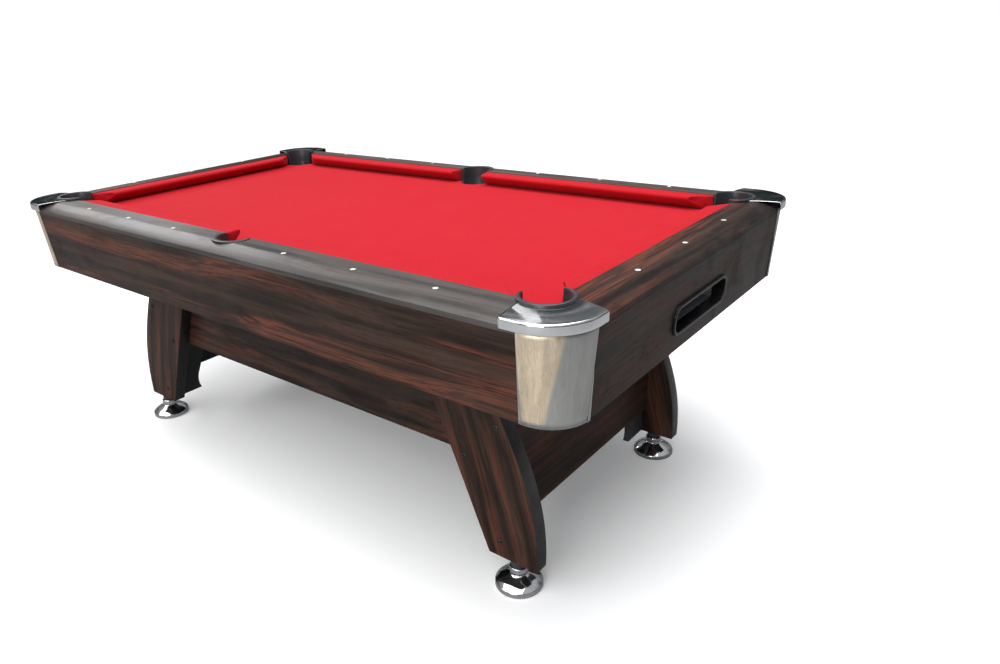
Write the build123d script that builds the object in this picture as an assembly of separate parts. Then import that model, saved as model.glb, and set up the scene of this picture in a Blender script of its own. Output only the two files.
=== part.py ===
"""A seven-foot home pool table: six pockets, ball return, splayed panel legs and screw-adjusted feet.

Millimetres. The origin is on the floor under the middle of the table, +X runs along the table towards
the ball-return end, +Y runs to the back long side and +Z is up. Every part of a corner is drawn in the
+X +Y quarter and mirrored to the others.
"""
import math
import os

from build123d import *

# ---------------------------------------------------------------- levels above the floor
RAIL_TOP = 812.0
BED_TOP = RAIL_TOP - 42.0  # top of the cloth
CLOTH = 1.5
BOARD_TOP = BED_TOP - CLOTH
BOARD = 18.0
BOARD_BOTTOM = BOARD_TOP - BOARD
BOARD_X = 1025.0
BOARD_Y = 577.0
BOARD_R = 74.0
APRON_TOP = RAIL_TOP - 30.0
APRON_BOTTOM = RAIL_TOP - 218.0
ENVELOPE_TOP = RAIL_TOP - 14.0
FLOOR_TOP = RAIL_TOP - 200.0  # top of the cabinet floor
FLOOR_BOTTOM = RAIL_TOP - 215.0
LEG_BOTTOM = 73.0
LONG_SKIRT_BOTTOM = RAIL_TOP - 505.0
END_SKIRT_BOTTOM = RAIL_TOP - 655.0

# ---------------------------------------------------------------- playing area and rails
PLAY_X = 897.0  # cushion noses
PLAY_Y = 451.0
CUSHION = 50.0
WOOD_X = PLAY_X + CUSHION  # where cushion meets rail
WOOD_Y = PLAY_Y + CUSHION
RAIL_WIDTH = 102.0
RAIL_FLAT = 55.0
RAIL_DROP = 18.0
RAIL_SEAT = 76.0  # width that stands on the bed board
RAIL_CORNER = 103.0
CORNER_EASE = 0.3  # the corner rounding starts this far outside the rails
SEAT_CORNER = 80.0
RAIL_GAP = 0.5  # between the rails and the aprons under them
SIGHT_STEP = 237.0
SIGHT_Y = 547.0
SIGHT_X = 997.0
SIGHT_R = 6.5
SIGHT_DEEP = 1.2
SIGHT_PROUD = 0.3

# ---------------------------------------------------------------- pockets
CORNER_X = 930.0
CORNER_Y = 480.0
CORNER_RIM = 60.0
SIDE_Y = 508.0
SIDE_RIM = 65.0
BOOT_TOP_R = 53.5
BOOT_BOTTOM_R = 47.0
BOOT_WALL = 3.0
BOOT_BOTTOM = RAIL_TOP - 84.0
POCKET_CUT = 54.5
CORNER_MOUTH_HALF = 48.0  # degrees each side of the diagonal that stay open to the bed
CORNER_BACK = 77.0  # cushion back ends this far short of the wood corner
CORNER_NOSE = 82.0
SIDE_BACK = 57.0
SIDE_NOSE = 64.0

# ---------------------------------------------------------------- cabinet
CABINET_BOTTOM_X = 1036.0
CABINET_BOTTOM_Y = 585.0
CABINET_TOP_X = 1050.5
CABINET_TOP_Y = 604.5
CABINET_BOTTOM_R = 86.0
CABINET_TOP_R = 102.0
APRON = 18.0
POST = 26.0
APRON_END_X = 940.0
APRON_END_Y = 497.0
TRIM = 1.5
TRIM_LOW_X = 935.0  # the trim's edges lean: these are their places at the bottom and the top
TRIM_HIGH_X = 944.0
TRIM_LOW_Y = 509.0
TRIM_HIGH_Y = 494.0
CAP_X = 1062.0
CAP_Y = 615.0
CAP_R = 111.0
CAP_SHEET = 2.0
CAP_TOP = RAIL_TOP + 3.0
CAP_LIP_BOTTOM = RAIL_TOP - 20.0
CAP_ROUND = 8.0
CAP_END_INNER = 898.0  # the cap's ends lean: x of the long end at the pocket and at the lip
CAP_END_OUTER = 914.0
CAP_SIDE_INNER = 452.0
CAP_SIDE_OUTER = 480.0

# ---------------------------------------------------------------- ball return
RETURN_Z = RAIL_TOP - 140.5
RETURN_WIDE = 300.0
RETURN_HIGH = 75.0
RETURN_R = 30.0
SLEEVE_WIDE = 286.0
SLEEVE_HIGH = 64.0
SLEEVE_R = 26.0
SLEEVE_WALL = 2.5
SLEEVE_DEEP = 23.0
RUNWAY_WIDE = 70.0
RUNWAY_HIGH = 32.0
RUNWAY_WALL = 3.0
RUNWAY_Y = 505.0
RUNWAY_HEAD_X = -985.0
RUNWAY_END_X = 940.0
RUNWAY_HEAD_Z = RAIL_TOP - 123.0
RUNWAY_END_Z = RAIL_TOP - 151.0
TRAY_X0 = 926.0
TRAY_X1 = 996.0
TRAY_Y = 540.0
TRAY_BOTTOM = RAIL_TOP - 178.0
TRAY_TOP = RAIL_TOP - 104.0
TRAY_WALL = 3.0
TRAY_MOUTH_X = 1014.0  # where the tray meets the sleeve of the ball return

# ---------------------------------------------------------------- legs and skirts
LEG_OUTER_Y = 395.0
LEG_INNER_Y = 355.0
LEG_INNER_BOTTOM_X = 704.0
LEG_INNER_TOP_X = 488.0
LEG_OUTER_EDGE = [(683.0, 215.0), (749.0, 353.0), (796.0, 453.0), (834.0, 570.0), (846.0, 650.0), (847.0, 735.0)]
PANEL_X0 = 728.0
PANEL_X1 = 746.0
PANEL_INNER_Y = 267.0
SKIRT = 15.0
FOOT_X = 780.0
FOOT_Y = 375.0
BOLT_R = 4.0
BOLT_HEAD_R = 7.0
BOLT_HEAD = 3.5
PANEL_BOLTS = [(737.0, RAIL_TOP - 380.0), (737.0, RAIL_TOP - 695.0)]
SKIRT_BOLT = (640.0, RAIL_TOP - 488.0)

# ---------------------------------------------------------------- screw feet
STEM_R = 8.0
STEM_BOTTOM = 18.0
STEM_TOP = 135.0
STEM_CLEARANCE = 0.05
BUSH_FLANGE_R = 19.5
BUSH_FLANGE_BOTTOM = 57.0
BUSH_BARREL_R = 11.0
BUSH_TOP = 106.0
DOME_R = 59.5
HUB_R = 23.5
PAD_R = 54.0
PAD = 3.0
FOOT_GAP = 0.4

QUARTERS = {
    "front_head": (-1, -1),
    "front_return": (1, -1),
    "back_head": (-1, 1),
    "back_return": (1, 1),
}

os.makedirs("parts", exist_ok=True)


def save(name, shape):
    """Writes one node's solids."""
    export_step(Compound(children=list(shape.solids())), f"parts/{name}.step")


def to_quarter(shape, sx, sy):
    """Mirrors a shape drawn in the +X +Y quarter to the quarter with signs sx, sy."""
    if sx < 0:
        shape = mirror(shape, about=Plane.YZ)
    if sy < 0:
        shape = mirror(shape, about=Plane.XZ)
    return shape


def box_between(low, high):
    """An upright box between two corners."""
    size = [b - a for a, b in zip(low, high)]
    middle = [(a + b) / 2 for a, b in zip(low, high)]
    return Pos(*middle) * Box(*size)


def prism(points, z0, z1):
    """A plan polygon carried from z0 up to z1."""
    face = make_face(Polyline(*points, close=True))
    return Pos(0, 0, z0) * extrude(face, amount=z1 - z0)


def rounded_prism(half_x, half_y, radius, z0, z1):
    """A rounded rectangle about the origin carried from z0 up to z1."""
    return Pos(0, 0, z0) * extrude(RectangleRounded(2 * half_x, 2 * half_y, radius), amount=z1 - z0)


def post_cylinder(x, y, radius, z0, z1):
    """An upright cylinder."""
    return Pos(x, y, (z0 + z1) / 2) * Cylinder(radius, z1 - z0)


def envelope(grow):
    """The cabinet's outer surface, grown outwards: rounded rectangles lofted from bottom to top."""
    bottom = RectangleRounded(
        2 * (CABINET_BOTTOM_X + grow), 2 * (CABINET_BOTTOM_Y + grow), CABINET_BOTTOM_R + grow
    )
    top = RectangleRounded(2 * (CABINET_TOP_X + grow), 2 * (CABINET_TOP_Y + grow), CABINET_TOP_R + grow)
    wires = [(Pos(0, 0, APRON_BOTTOM) * bottom).wire(), (Pos(0, 0, ENVELOPE_TOP) * top).wire()]
    return Solid.make_loft(wires, ruled=True)


# ---------------------------------------------------------------- rails, sights and cushions
def rail_section():
    """The rail's section: x runs outwards from the wood line, y is height from the rail top."""
    seat = BOARD_TOP - RAIL_TOP
    lip = APRON_TOP + RAIL_GAP - RAIL_TOP
    middle = ((RAIL_FLAT + RAIL_WIDTH) / 2 + 1.0, -RAIL_DROP / 2 + 2.6)
    edges = [
        Line((0, seat), (0, 0)),
        Line((0, 0), (RAIL_FLAT, 0)),
        ThreePointArc((RAIL_FLAT, 0), middle, (RAIL_WIDTH, -RAIL_DROP)),
        Line((RAIL_WIDTH, -RAIL_DROP), (RAIL_WIDTH, lip)),
        Line((RAIL_WIDTH, lip), (RAIL_SEAT, lip)),
        Line((RAIL_SEAT, lip), (RAIL_SEAT, seat)),
        Line((RAIL_SEAT, seat), (0, seat)),
    ]
    return make_face(Wire(edges))


def cushion_section():
    """The cushion's section: x runs inwards from the wood line, y is height from the rail top."""
    edges = [
        Line((0, -40.5), (0, 0)),
        Line((0, 0), (43, -2.5)),
        ThreePointArc((43, -2.5), (CUSHION, -8), (45.5, -14.5)),
        Line((45.5, -14.5), (15, -40.5)),
        Line((15, -40.5), (0, -40.5)),
    ]
    return make_face(Wire(edges))


def long_rail():
    """The back long rail, mitred at its ends and cut for three pockets, its bolts and its sights."""
    reach = RAIL_WIDTH + 10
    blank = extrude(
        Plane(origin=(-1100, WOOD_Y, RAIL_TOP), x_dir=(0, 1, 0), z_dir=(1, 0, 0)) * rail_section(),
        amount=2200,
    )
    plan = [
        (-WOOD_X, WOOD_Y),
        (WOOD_X, WOOD_Y),
        (WOOD_X + reach, WOOD_Y + reach),
        (-WOOD_X - reach, WOOD_Y + reach),
    ]
    blank = blank & prism(plan, RAIL_TOP - 60, RAIL_TOP + 10)
    return cut_rail(blank)


def end_rail():
    """The rail of the return end, mitred at its ends and cut for two pockets, its bolts and its sights."""
    reach = RAIL_WIDTH + 10
    blank = extrude(
        Plane(origin=(WOOD_X, 700, RAIL_TOP), x_dir=(1, 0, 0), z_dir=(0, -1, 0)) * rail_section(),
        amount=1400,
    )
    plan = [
        (WOOD_X, -WOOD_Y),
        (WOOD_X + reach, -WOOD_Y - reach),
        (WOOD_X + reach, WOOD_Y + reach),
        (WOOD_X, WOOD_Y),
    ]
    blank = blank & prism(plan, RAIL_TOP - 60, RAIL_TOP + 10)
    return cut_rail(blank)


def pocket_centres():
    """All six pocket centres."""
    corners = [(sx * CORNER_X, sy * CORNER_Y) for sx, sy in QUARTERS.values()]
    return corners + [(0, SIDE_Y), (0, -SIDE_Y)]


def sight_centres():
    """Six sights on each long rail and three on each end rail."""
    steps = [SIGHT_STEP * k for k in (-3, -2, -1, 1, 2, 3)]
    long_rails = [(x, y) for x in steps for y in (-SIGHT_Y, SIGHT_Y)]
    end_rails = [(x, y * SIGHT_STEP) for x in (-SIGHT_X, SIGHT_X) for y in (-1, 0, 1)]
    return long_rails + end_rails


def rail_bolt_centres():
    """One bolt outboard of each sight."""
    bolts = []
    for x, y in sight_centres():
        if abs(x) < WOOD_X:
            bolts.append((x, math.copysign(SIGHT_Y + 16, y)))
        else:
            bolts.append((math.copysign(SIGHT_X + 9, x), y))
    return bolts


def cut_rail(blank):
    """Rounds a rail's outer corners and cuts its pockets, sight seats and bolt holes."""
    half_x = WOOD_X + RAIL_WIDTH + CORNER_EASE
    half_y = WOOD_Y + RAIL_WIDTH + CORNER_EASE
    outline = rounded_prism(half_x, half_y, RAIL_CORNER, RAIL_TOP - 60, RAIL_TOP + 10)
    rail = blank & outline
    for x, y in pocket_centres():
        rail = rail - post_cylinder(x, y, POCKET_CUT, RAIL_TOP - 60, RAIL_TOP + 10)
    for x, y in sight_centres():
        rail = rail - post_cylinder(x, y, SIGHT_R, RAIL_TOP - SIGHT_DEEP, RAIL_TOP + 5)
    for x, y in rail_bolt_centres():
        rail = rail - post_cylinder(x, y, BOLT_R, BOARD_BOTTOM, RAIL_TOP - 18)
    beside = box_between((-1200, -800, BOARD_TOP - 5), (1200, 800, APRON_TOP + RAIL_GAP))
    seat = rounded_prism(WOOD_X + RAIL_SEAT + 1, WOOD_Y + RAIL_SEAT + 1, SEAT_CORNER, BOARD_TOP - 10, RAIL_TOP)
    return rail - (beside - seat)


def long_cushion():
    """The cushion between the back side pocket and the return-end corner pocket."""
    plane = Plane(origin=(1000, WOOD_Y, RAIL_TOP), x_dir=(0, -1, 0), z_dir=(-1, 0, 0))
    blank = extrude(plane * cushion_section(), amount=1000)
    plan = [
        (SIDE_BACK, WOOD_Y),
        (SIDE_NOSE, PLAY_Y),
        (PLAY_X - CORNER_NOSE, PLAY_Y),
        (WOOD_X - CORNER_BACK, WOOD_Y),
    ]
    return blank & prism(plan, RAIL_TOP - 60, RAIL_TOP + 10)


def end_cushion():
    """The cushion of the return end, between its two corner pockets."""
    plane = Plane(origin=(WOOD_X, -600, RAIL_TOP), x_dir=(-1, 0, 0), z_dir=(0, 1, 0))
    blank = extrude(plane * cushion_section(), amount=1200)
    back = WOOD_Y - CORNER_BACK
    nose = PLAY_Y - CORNER_NOSE
    plan = [(WOOD_X, -back), (WOOD_X, back), (PLAY_X, nose), (PLAY_X, -nose)]
    return blank & prism(plan, RAIL_TOP - 60, RAIL_TOP + 10)


def sights():
    """Round inlays in the rail tops."""
    discs = Part()
    for x, y in sight_centres():
        discs += post_cylinder(x, y, SIGHT_R, RAIL_TOP - SIGHT_DEEP, RAIL_TOP + SIGHT_PROUD)
    return discs


def rail_bolts():
    """Bolts that come up through the bed board into the rails, heads under the board."""
    bolts = Part()
    for x, y in rail_bolt_centres():
        head = post_cylinder(x, y, 7.5, BOARD_BOTTOM - 5, BOARD_BOTTOM)
        bolts += head + post_cylinder(x, y, BOLT_R, BOARD_BOTTOM, RAIL_TOP - 18)
    return bolts


# ---------------------------------------------------------------- bed
def bed_board():
    """The bed board with its six pocket holes and the rails' bolt holes."""
    board = rounded_prism(BOARD_X, BOARD_Y, BOARD_R, BOARD_BOTTOM, BOARD_TOP)
    for x, y in pocket_centres():
        board = board - post_cylinder(x, y, POCKET_CUT, BOARD_BOTTOM - 5, BOARD_TOP + 5)
    for x, y in rail_bolt_centres():
        board = board - post_cylinder(x, y, BOLT_R, BOARD_BOTTOM - 5, BOARD_TOP + 5)
    return board


def bed_cloth():
    """The cloth on the bed, inside the rails and cut round the pockets."""
    cloth = box_between((-WOOD_X + 0.5, -WOOD_Y + 0.5, BOARD_TOP), (WOOD_X - 0.5, WOOD_Y - 0.5, BED_TOP))
    for x, y in pocket_centres():
        cloth = cloth - post_cylinder(x, y, POCKET_CUT, BOARD_TOP - 5, BED_TOP + 5)
    return cloth


def bed_frame():
    """Two stringers along the table and four beams between them, under the bed board."""
    frame = Part()
    for side in (-1, 1):
        y0, y1 = sorted((side * 425, side * 443))
        frame += box_between((-895, y0, FLOOR_TOP), (895, y1, BOARD_BOTTOM))
    for x in (-650, -250, 250, 650):
        frame += box_between((x - 20, -424.9, BOARD_BOTTOM - 60), (x + 20, 424.9, BOARD_BOTTOM))
    return frame


# ---------------------------------------------------------------- pockets
def boot_profile(rim_r, rim_bottom, rim_top):
    """A pocket liner's turned profile: a rounded rim and a wall that narrows downwards."""
    inner = BOOT_TOP_R - BOOT_WALL
    edge = (rim_top - rim_bottom) * 0.45
    edges = [
        Line((inner, BOARD_TOP), (inner, rim_top - edge)),
        ThreePointArc(
            (inner, rim_top - edge), (inner + edge * 0.293, rim_top - edge * 0.293), (inner + edge, rim_top)
        ),
        Line((inner + edge, rim_top), (rim_r - edge, rim_top)),
        ThreePointArc(
            (rim_r - edge, rim_top), (rim_r - edge * 0.293, rim_top - edge * 0.293), (rim_r, rim_top - edge)
        ),
        Line((rim_r, rim_top - edge), (rim_r, rim_bottom)),
        Line((rim_r, rim_bottom), (BOOT_TOP_R, rim_bottom)),
        Line((BOOT_TOP_R, rim_bottom), (BOOT_TOP_R, BOARD_TOP)),
        Line((BOOT_TOP_R, BOARD_TOP), (BOOT_BOTTOM_R, BOOT_BOTTOM)),
        Line((BOOT_BOTTOM_R, BOOT_BOTTOM), (BOOT_BOTTOM_R - BOOT_WALL, BOOT_BOTTOM)),
        Line((BOOT_BOTTOM_R - BOOT_WALL, BOOT_BOTTOM), (inner, BOARD_TOP)),
    ]
    return Plane.XZ * make_face(Wire(edges))


def corner_pocket():
    """The corner liner: a horseshoe above the bed, open towards the middle, and a ring below it."""
    liner = revolve(boot_profile(CORNER_RIM, CAP_TOP + 0.1, CAP_TOP + 5.5), Axis.Z)
    reach = 120
    half = math.radians(CORNER_MOUTH_HALF)
    diagonal = math.radians(225)
    mouth = [
        (0, 0),
        (reach * math.cos(diagonal - half), reach * math.sin(diagonal - half)),
        (reach * math.cos(diagonal + half), reach * math.sin(diagonal + half)),
    ]
    liner = liner - prism(mouth, BED_TOP - 10, RAIL_TOP + 20)
    return Pos(CORNER_X, CORNER_Y, 0) * liner


def side_pocket():
    """The side liner: a low rim on the rail top, open towards the middle, and a ring below the bed."""
    liner = revolve(boot_profile(SIDE_RIM, RAIL_TOP + 0.1, RAIL_TOP + 2.6), Axis.Z)
    liner = liner - box_between((-100, -100, BED_TOP - 10), (100, WOOD_Y - SIDE_Y, RAIL_TOP + 20))
    return Pos(0, SIDE_Y, 0) * liner


# ---------------------------------------------------------------- cabinet
def apron_ring(thickness):
    """A closed wall of one thickness just inside the cabinet's outer surface, under the rails."""
    wall = envelope(0) - envelope(-thickness)
    return wall & box_between((-1200, -800, APRON_BOTTOM), (1200, 800, APRON_TOP))


def corner_posts(thin, thick):
    """Rounded corner posts: full thickness under the bed board, thinner beside it."""
    corner = box_between((APRON_END_X, APRON_END_Y, APRON_BOTTOM), (1200, 800, APRON_TOP))
    below = box_between((APRON_END_X, APRON_END_Y, APRON_BOTTOM), (1200, 800, BOARD_BOTTOM))
    post = (thin & corner) + (thick & below)
    posts = Part()
    for sx, sy in QUARTERS.values():
        posts += to_quarter(post, sx, sy)
    return posts


def corner_trim():
    """A thin metal sheet that wraps the cabinet's corner."""
    wall = envelope(TRIM) - envelope(0)
    low, high = APRON_BOTTOM, ENVELOPE_TOP - 6
    from_x = Polyline((TRIM_LOW_X, low), (TRIM_HIGH_X, high), (1200, high), (1200, low), close=True)
    from_y = Polyline((TRIM_LOW_Y, low), (TRIM_HIGH_Y, high), (800, high), (800, low), close=True)
    wall = wall & extrude(Plane.XZ * make_face(from_x), amount=-800)
    return wall & extrude(Plane.YZ * make_face(from_y), amount=1200)


def corner_cap():
    """A pressed metal cap over the rail corner: a flat top, a rolled edge and a lip, open at both ends."""
    outer = rounded_prism(CAP_X, CAP_Y, CAP_R, CAP_LIP_BOTTOM, CAP_TOP)
    outer = fillet(outer.faces().sort_by(Axis.Z)[-1].edges(), CAP_ROUND)
    inner = rounded_prism(
        CAP_X - CAP_SHEET, CAP_Y - CAP_SHEET, CAP_R - CAP_SHEET, CAP_LIP_BOTTOM - 1, CAP_TOP - CAP_SHEET
    )
    inner = fillet(inner.faces().sort_by(Axis.Z)[-1].edges(), CAP_ROUND - CAP_SHEET)
    shell = outer - inner
    plan = [
        (CAP_END_INNER, WOOD_Y),
        (CAP_END_OUTER, CAP_Y + 5),
        (CAP_X + 5, CAP_Y + 5),
        (CAP_X + 5, CAP_SIDE_OUTER),
        (WOOD_X, CAP_SIDE_INNER),
    ]
    cap = shell & prism(plan, CAP_LIP_BOTTOM - 5, CAP_TOP + 5)
    return cap - post_cylinder(CORNER_X, CORNER_Y, POCKET_CUT + 1.0, RAIL_TOP - 60, RAIL_TOP + 20)


def cabinet_floor():
    """The board that closes the cabinet below and stands on the legs."""
    board = box_between((-1014, -563, FLOOR_BOTTOM), (1014, 563, FLOOR_TOP))
    for sx, sy in QUARTERS.values():
        corner = box_between((APRON_END_X - 1, APRON_END_Y - 1, 0), (1200, 800, 1000))
        board = board - to_quarter(corner, sx, sy)
    return board


# ---------------------------------------------------------------- ball return
def return_plane():
    """The plane of the return-end apron's face at the middle of the ball return."""
    rise = (RETURN_Z - APRON_BOTTOM) / (ENVELOPE_TOP - APRON_BOTTOM)
    slope = math.atan2(CABINET_TOP_X - CABINET_BOTTOM_X, ENVELOPE_TOP - APRON_BOTTOM)
    x = CABINET_BOTTOM_X + rise * (CABINET_TOP_X - CABINET_BOTTOM_X)
    return Plane(origin=(x, 0, RETURN_Z), x_dir=(0, 1, 0), z_dir=(math.cos(slope), 0, -math.sin(slope)))


def return_hole():
    """The hole that the ball return needs in the apron."""
    outline = RectangleRounded(SLEEVE_WIDE + 1, SLEEVE_HIGH + 1, SLEEVE_R + 0.5)
    return extrude(return_plane().offset(-40) * outline, amount=80)


def return_bezel():
    """The moulded frame round the ball return: a raised flange and a sleeve through the apron."""
    plane = return_plane()
    flange = extrude(plane * RectangleRounded(RETURN_WIDE, RETURN_HIGH, RETURN_R), amount=6)
    front = flange.faces().sort_by(Axis.X)[-1]
    flange = fillet(front.edges(), 2.5)
    sleeve = extrude(
        plane.offset(-SLEEVE_DEEP) * RectangleRounded(SLEEVE_WIDE, SLEEVE_HIGH, SLEEVE_R), amount=SLEEVE_DEEP
    )
    opening = RectangleRounded(
        SLEEVE_WIDE - 2 * SLEEVE_WALL, SLEEVE_HIGH - 2 * SLEEVE_WALL, SLEEVE_R - SLEEVE_WALL
    )
    return flange + sleeve - extrude(plane.offset(-SLEEVE_DEEP - 5) * opening, amount=SLEEVE_DEEP + 20)


def ball_runway():
    """The back gutter: a channel under the back pockets that falls towards the return end."""
    half = RUNWAY_WIDE / 2
    section = Rectangle(RUNWAY_WIDE, RUNWAY_HIGH)
    bore = Pos(0, RUNWAY_WALL) * Rectangle(RUNWAY_WIDE - 2 * RUNWAY_WALL, RUNWAY_HIGH)
    channel = section - bore
    fall = math.atan2(RUNWAY_HEAD_Z - RUNWAY_END_Z, RUNWAY_END_X - RUNWAY_HEAD_X)
    plane = Plane(
        origin=(RUNWAY_HEAD_X, RUNWAY_Y, RUNWAY_HEAD_Z + RUNWAY_HIGH / 2),
        x_dir=(0, 1, 0),
        z_dir=(math.cos(fall), 0, -math.sin(fall)),
    )
    length = (RUNWAY_END_X - RUNWAY_HEAD_X) / math.cos(fall)
    stop = box_between(
        (RUNWAY_HEAD_X - RUNWAY_WALL, RUNWAY_Y - half, RUNWAY_HEAD_Z),
        (RUNWAY_HEAD_X, RUNWAY_Y + half, RUNWAY_HEAD_Z + RUNWAY_HIGH),
    )
    return extrude(plane * channel, amount=length) + stop


def ball_tray():
    """The trough across the return end that gathers the balls, with a mouth towards the ball return."""
    wall = TRAY_WALL
    wide = SLEEVE_WIDE / 2 - SLEEVE_WALL
    sill = RETURN_Z - SLEEVE_HIGH / 2 + SLEEVE_WALL
    trough = box_between((TRAY_X0, -TRAY_Y, TRAY_BOTTOM), (TRAY_X1, TRAY_Y, TRAY_TOP))
    mouth = box_between((TRAY_X1 - wall, -wide - wall, TRAY_BOTTOM), (TRAY_MOUTH_X, wide + wall, TRAY_TOP))
    inside = box_between(
        (TRAY_X0 + wall, -TRAY_Y + wall, TRAY_BOTTOM + wall), (TRAY_X1 - wall, TRAY_Y - wall, TRAY_TOP + 1)
    )
    mouth_inside = box_between((TRAY_X0 + wall, -wide, sill), (TRAY_MOUTH_X + 1, wide, TRAY_TOP + 1))
    tray = trough + mouth - inside - mouth_inside
    for side in (-1, 1):
        y0, y1 = sorted((side * (RUNWAY_Y - RUNWAY_WIDE / 2 - 2), side * (TRAY_Y + 1)))
        tray = tray - box_between((TRAY_X0 - 1, y0, RUNWAY_END_Z - 2), (RUNWAY_END_X + 2, y1, TRAY_TOP + 1))
    return tray


# ---------------------------------------------------------------- legs
def leg_plate():
    """The wide face plate of a leg: a straight inner edge and a bowed outer edge, splayed outwards."""
    outer = [(x, RAIL_TOP - drop) for x, drop in LEG_OUTER_EDGE]
    bow = Spline(*outer, tangents=[(0.43, -0.9), (0, -1)])
    bottom = Line(outer[-1], (LEG_INNER_BOTTOM_X, LEG_BOTTOM))
    inner = Line((LEG_INNER_BOTTOM_X, LEG_BOTTOM), (LEG_INNER_TOP_X, FLOOR_BOTTOM))
    top = Line((LEG_INNER_TOP_X, FLOOR_BOTTOM), outer[0])
    face = make_face(Wire([bow, bottom, inner, top]))
    plate = Pos(0, LEG_INNER_Y, 0) * extrude(Plane.XZ * face, amount=-(LEG_OUTER_Y - LEG_INNER_Y))
    for x, z in PANEL_BOLTS + [SKIRT_BOLT]:
        plate = plate - bolt_hole(x, z, LEG_INNER_Y - 1, LEG_OUTER_Y + 1)
    plate = plate - post_cylinder(FOOT_X, FOOT_Y, BUSH_BARREL_R, LEG_BOTTOM - 1, BUSH_TOP)
    return plate - post_cylinder(FOOT_X, FOOT_Y, STEM_R + 1.5, LEG_BOTTOM, STEM_TOP + 10)


def bolt_hole(x, z, y0, y1):
    """A cylinder along Y of the bolts' radius."""
    return Pos(x, (y0 + y1) / 2, z) * Rot(90, 0, 0) * Cylinder(BOLT_R, y1 - y0)


def leg_inner_panel():
    """The panel square to the face plate, behind it: its free edge is hollow near the foot."""
    bottom = LEG_BOTTOM
    edges = [
        Line((LEG_INNER_Y, bottom), (PANEL_INNER_Y, bottom)),
        ThreePointArc((PANEL_INNER_Y, bottom), (PANEL_INNER_Y + 8, bottom + 32), (PANEL_INNER_Y, bottom + 64)),
        ThreePointArc((PANEL_INNER_Y, bottom + 64), (205, bottom + 230), (160, FLOOR_BOTTOM)),
        Line((160, FLOOR_BOTTOM), (LEG_INNER_Y, FLOOR_BOTTOM)),
        Line((LEG_INNER_Y, FLOOR_BOTTOM), (LEG_INNER_Y, bottom)),
    ]
    panel = Pos(PANEL_X0, 0, 0) * extrude(Plane.YZ * make_face(Wire(edges)), amount=PANEL_X1 - PANEL_X0)
    for x, z in PANEL_BOLTS:
        panel = panel - bolt_hole(x, z, LEG_INNER_Y - 30, LEG_INNER_Y + 1)
    return panel


def leg_bolts():
    """Black cap bolts through the face plates: two into each inner panel, one through each long skirt."""
    bolts = Part()
    for sx, sy in QUARTERS.values():
        for x, z in PANEL_BOLTS + [SKIRT_BOLT]:
            into_skirt = (x, z) == SKIRT_BOLT
            tip = LEG_INNER_Y - SKIRT - 8 if into_skirt else LEG_INNER_Y - 30
            head = Pos(x, LEG_OUTER_Y + BOLT_HEAD / 2, z) * Rot(90, 0, 0) * Cylinder(BOLT_HEAD_R, BOLT_HEAD)
            bolt = head + bolt_hole(x, z, tip, LEG_OUTER_Y)
            if into_skirt:
                nut = Pos(x, LEG_INNER_Y - SKIRT - 3, z) * Rot(90, 0, 0) * Cylinder(7, 6)
                bolt = bolt + nut
            bolts += to_quarter(bolt, sx, sy)
    return bolts


def long_skirt():
    """The panel between the back legs."""
    x = PANEL_X0
    skirt = box_between((-x, LEG_INNER_Y - SKIRT, LONG_SKIRT_BOTTOM), (x, LEG_INNER_Y, FLOOR_BOTTOM))
    for side in (-1, 1):
        skirt = skirt - bolt_hole(side * SKIRT_BOLT[0], SKIRT_BOLT[1], LEG_INNER_Y - 20, LEG_INNER_Y + 1)
    return skirt


def end_skirt():
    """The panel across the return end, outside the legs' inner panels."""
    return box_between(
        (PANEL_X1, -LEG_INNER_Y, END_SKIRT_BOTTOM), (PANEL_X1 + SKIRT, LEG_INNER_Y, FLOOR_BOTTOM)
    )


def leg_brackets():
    """Angle brackets that hold the long skirts to the cabinet floor."""
    y1 = LEG_INNER_Y - SKIRT
    edges = [(y1, 0), (y1, -40), (y1 - 3, -40), (y1 - 3, -3), (y1 - 40, -3), (y1 - 40, 0)]
    section = make_face(Polyline(*edges, close=True))
    brackets = Part()
    for x in (-560, 0, 560):
        bracket = Pos(x - 30, 0, FLOOR_BOTTOM) * extrude(Plane.YZ * section, amount=60)
        brackets += bracket + mirror(bracket, about=Plane.XZ)
    return brackets


# ---------------------------------------------------------------- screw feet
def leveller_bush():
    """The threaded bush under a leg: a dark flange below the plate and a barrel inside it."""
    flange = post_cylinder(FOOT_X, FOOT_Y, BUSH_FLANGE_R, BUSH_FLANGE_BOTTOM, LEG_BOTTOM)
    barrel = post_cylinder(FOOT_X, FOOT_Y, BUSH_BARREL_R, LEG_BOTTOM, BUSH_TOP)
    bore = post_cylinder(FOOT_X, FOOT_Y, STEM_R + STEM_CLEARANCE, 0, BUSH_TOP + 5)
    return flange + barrel - bore


def foot_stem():
    """The threaded stem with its nut under the dome."""
    stem = post_cylinder(FOOT_X, FOOT_Y, STEM_R, STEM_BOTTOM, STEM_TOP)
    nut = Pos(FOOT_X, FOOT_Y, STEM_BOTTOM) * extrude(RegularPolygon(13.5, 6), amount=9.5)
    return stem + nut


def foot_dome():
    """The bell-shaped foot: a hub on the stem, a cone and a rim band."""
    under_hub = STEM_BOTTOM + 9.5
    profile = [
        (STEM_R, under_hub),
        (STEM_R, 56.0),
        (HUB_R - 1.5, 56.0),
        (HUB_R, 54.5),
        (HUB_R, 34.0),
        (HUB_R + 3.0, 30.5),
        (DOME_R - 4.5, 16.0),
        (DOME_R, 13.0),
        (DOME_R, 1.0),
        (DOME_R - 3.0, 1.0),
        (DOME_R - 3.0, 11.5),
        (HUB_R + 1.5, under_hub),
    ]
    ring = revolve(Plane.XZ * make_face(Polyline(*profile, close=True)), Axis.Z)
    return Pos(FOOT_X, FOOT_Y, 0) * ring


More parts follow.
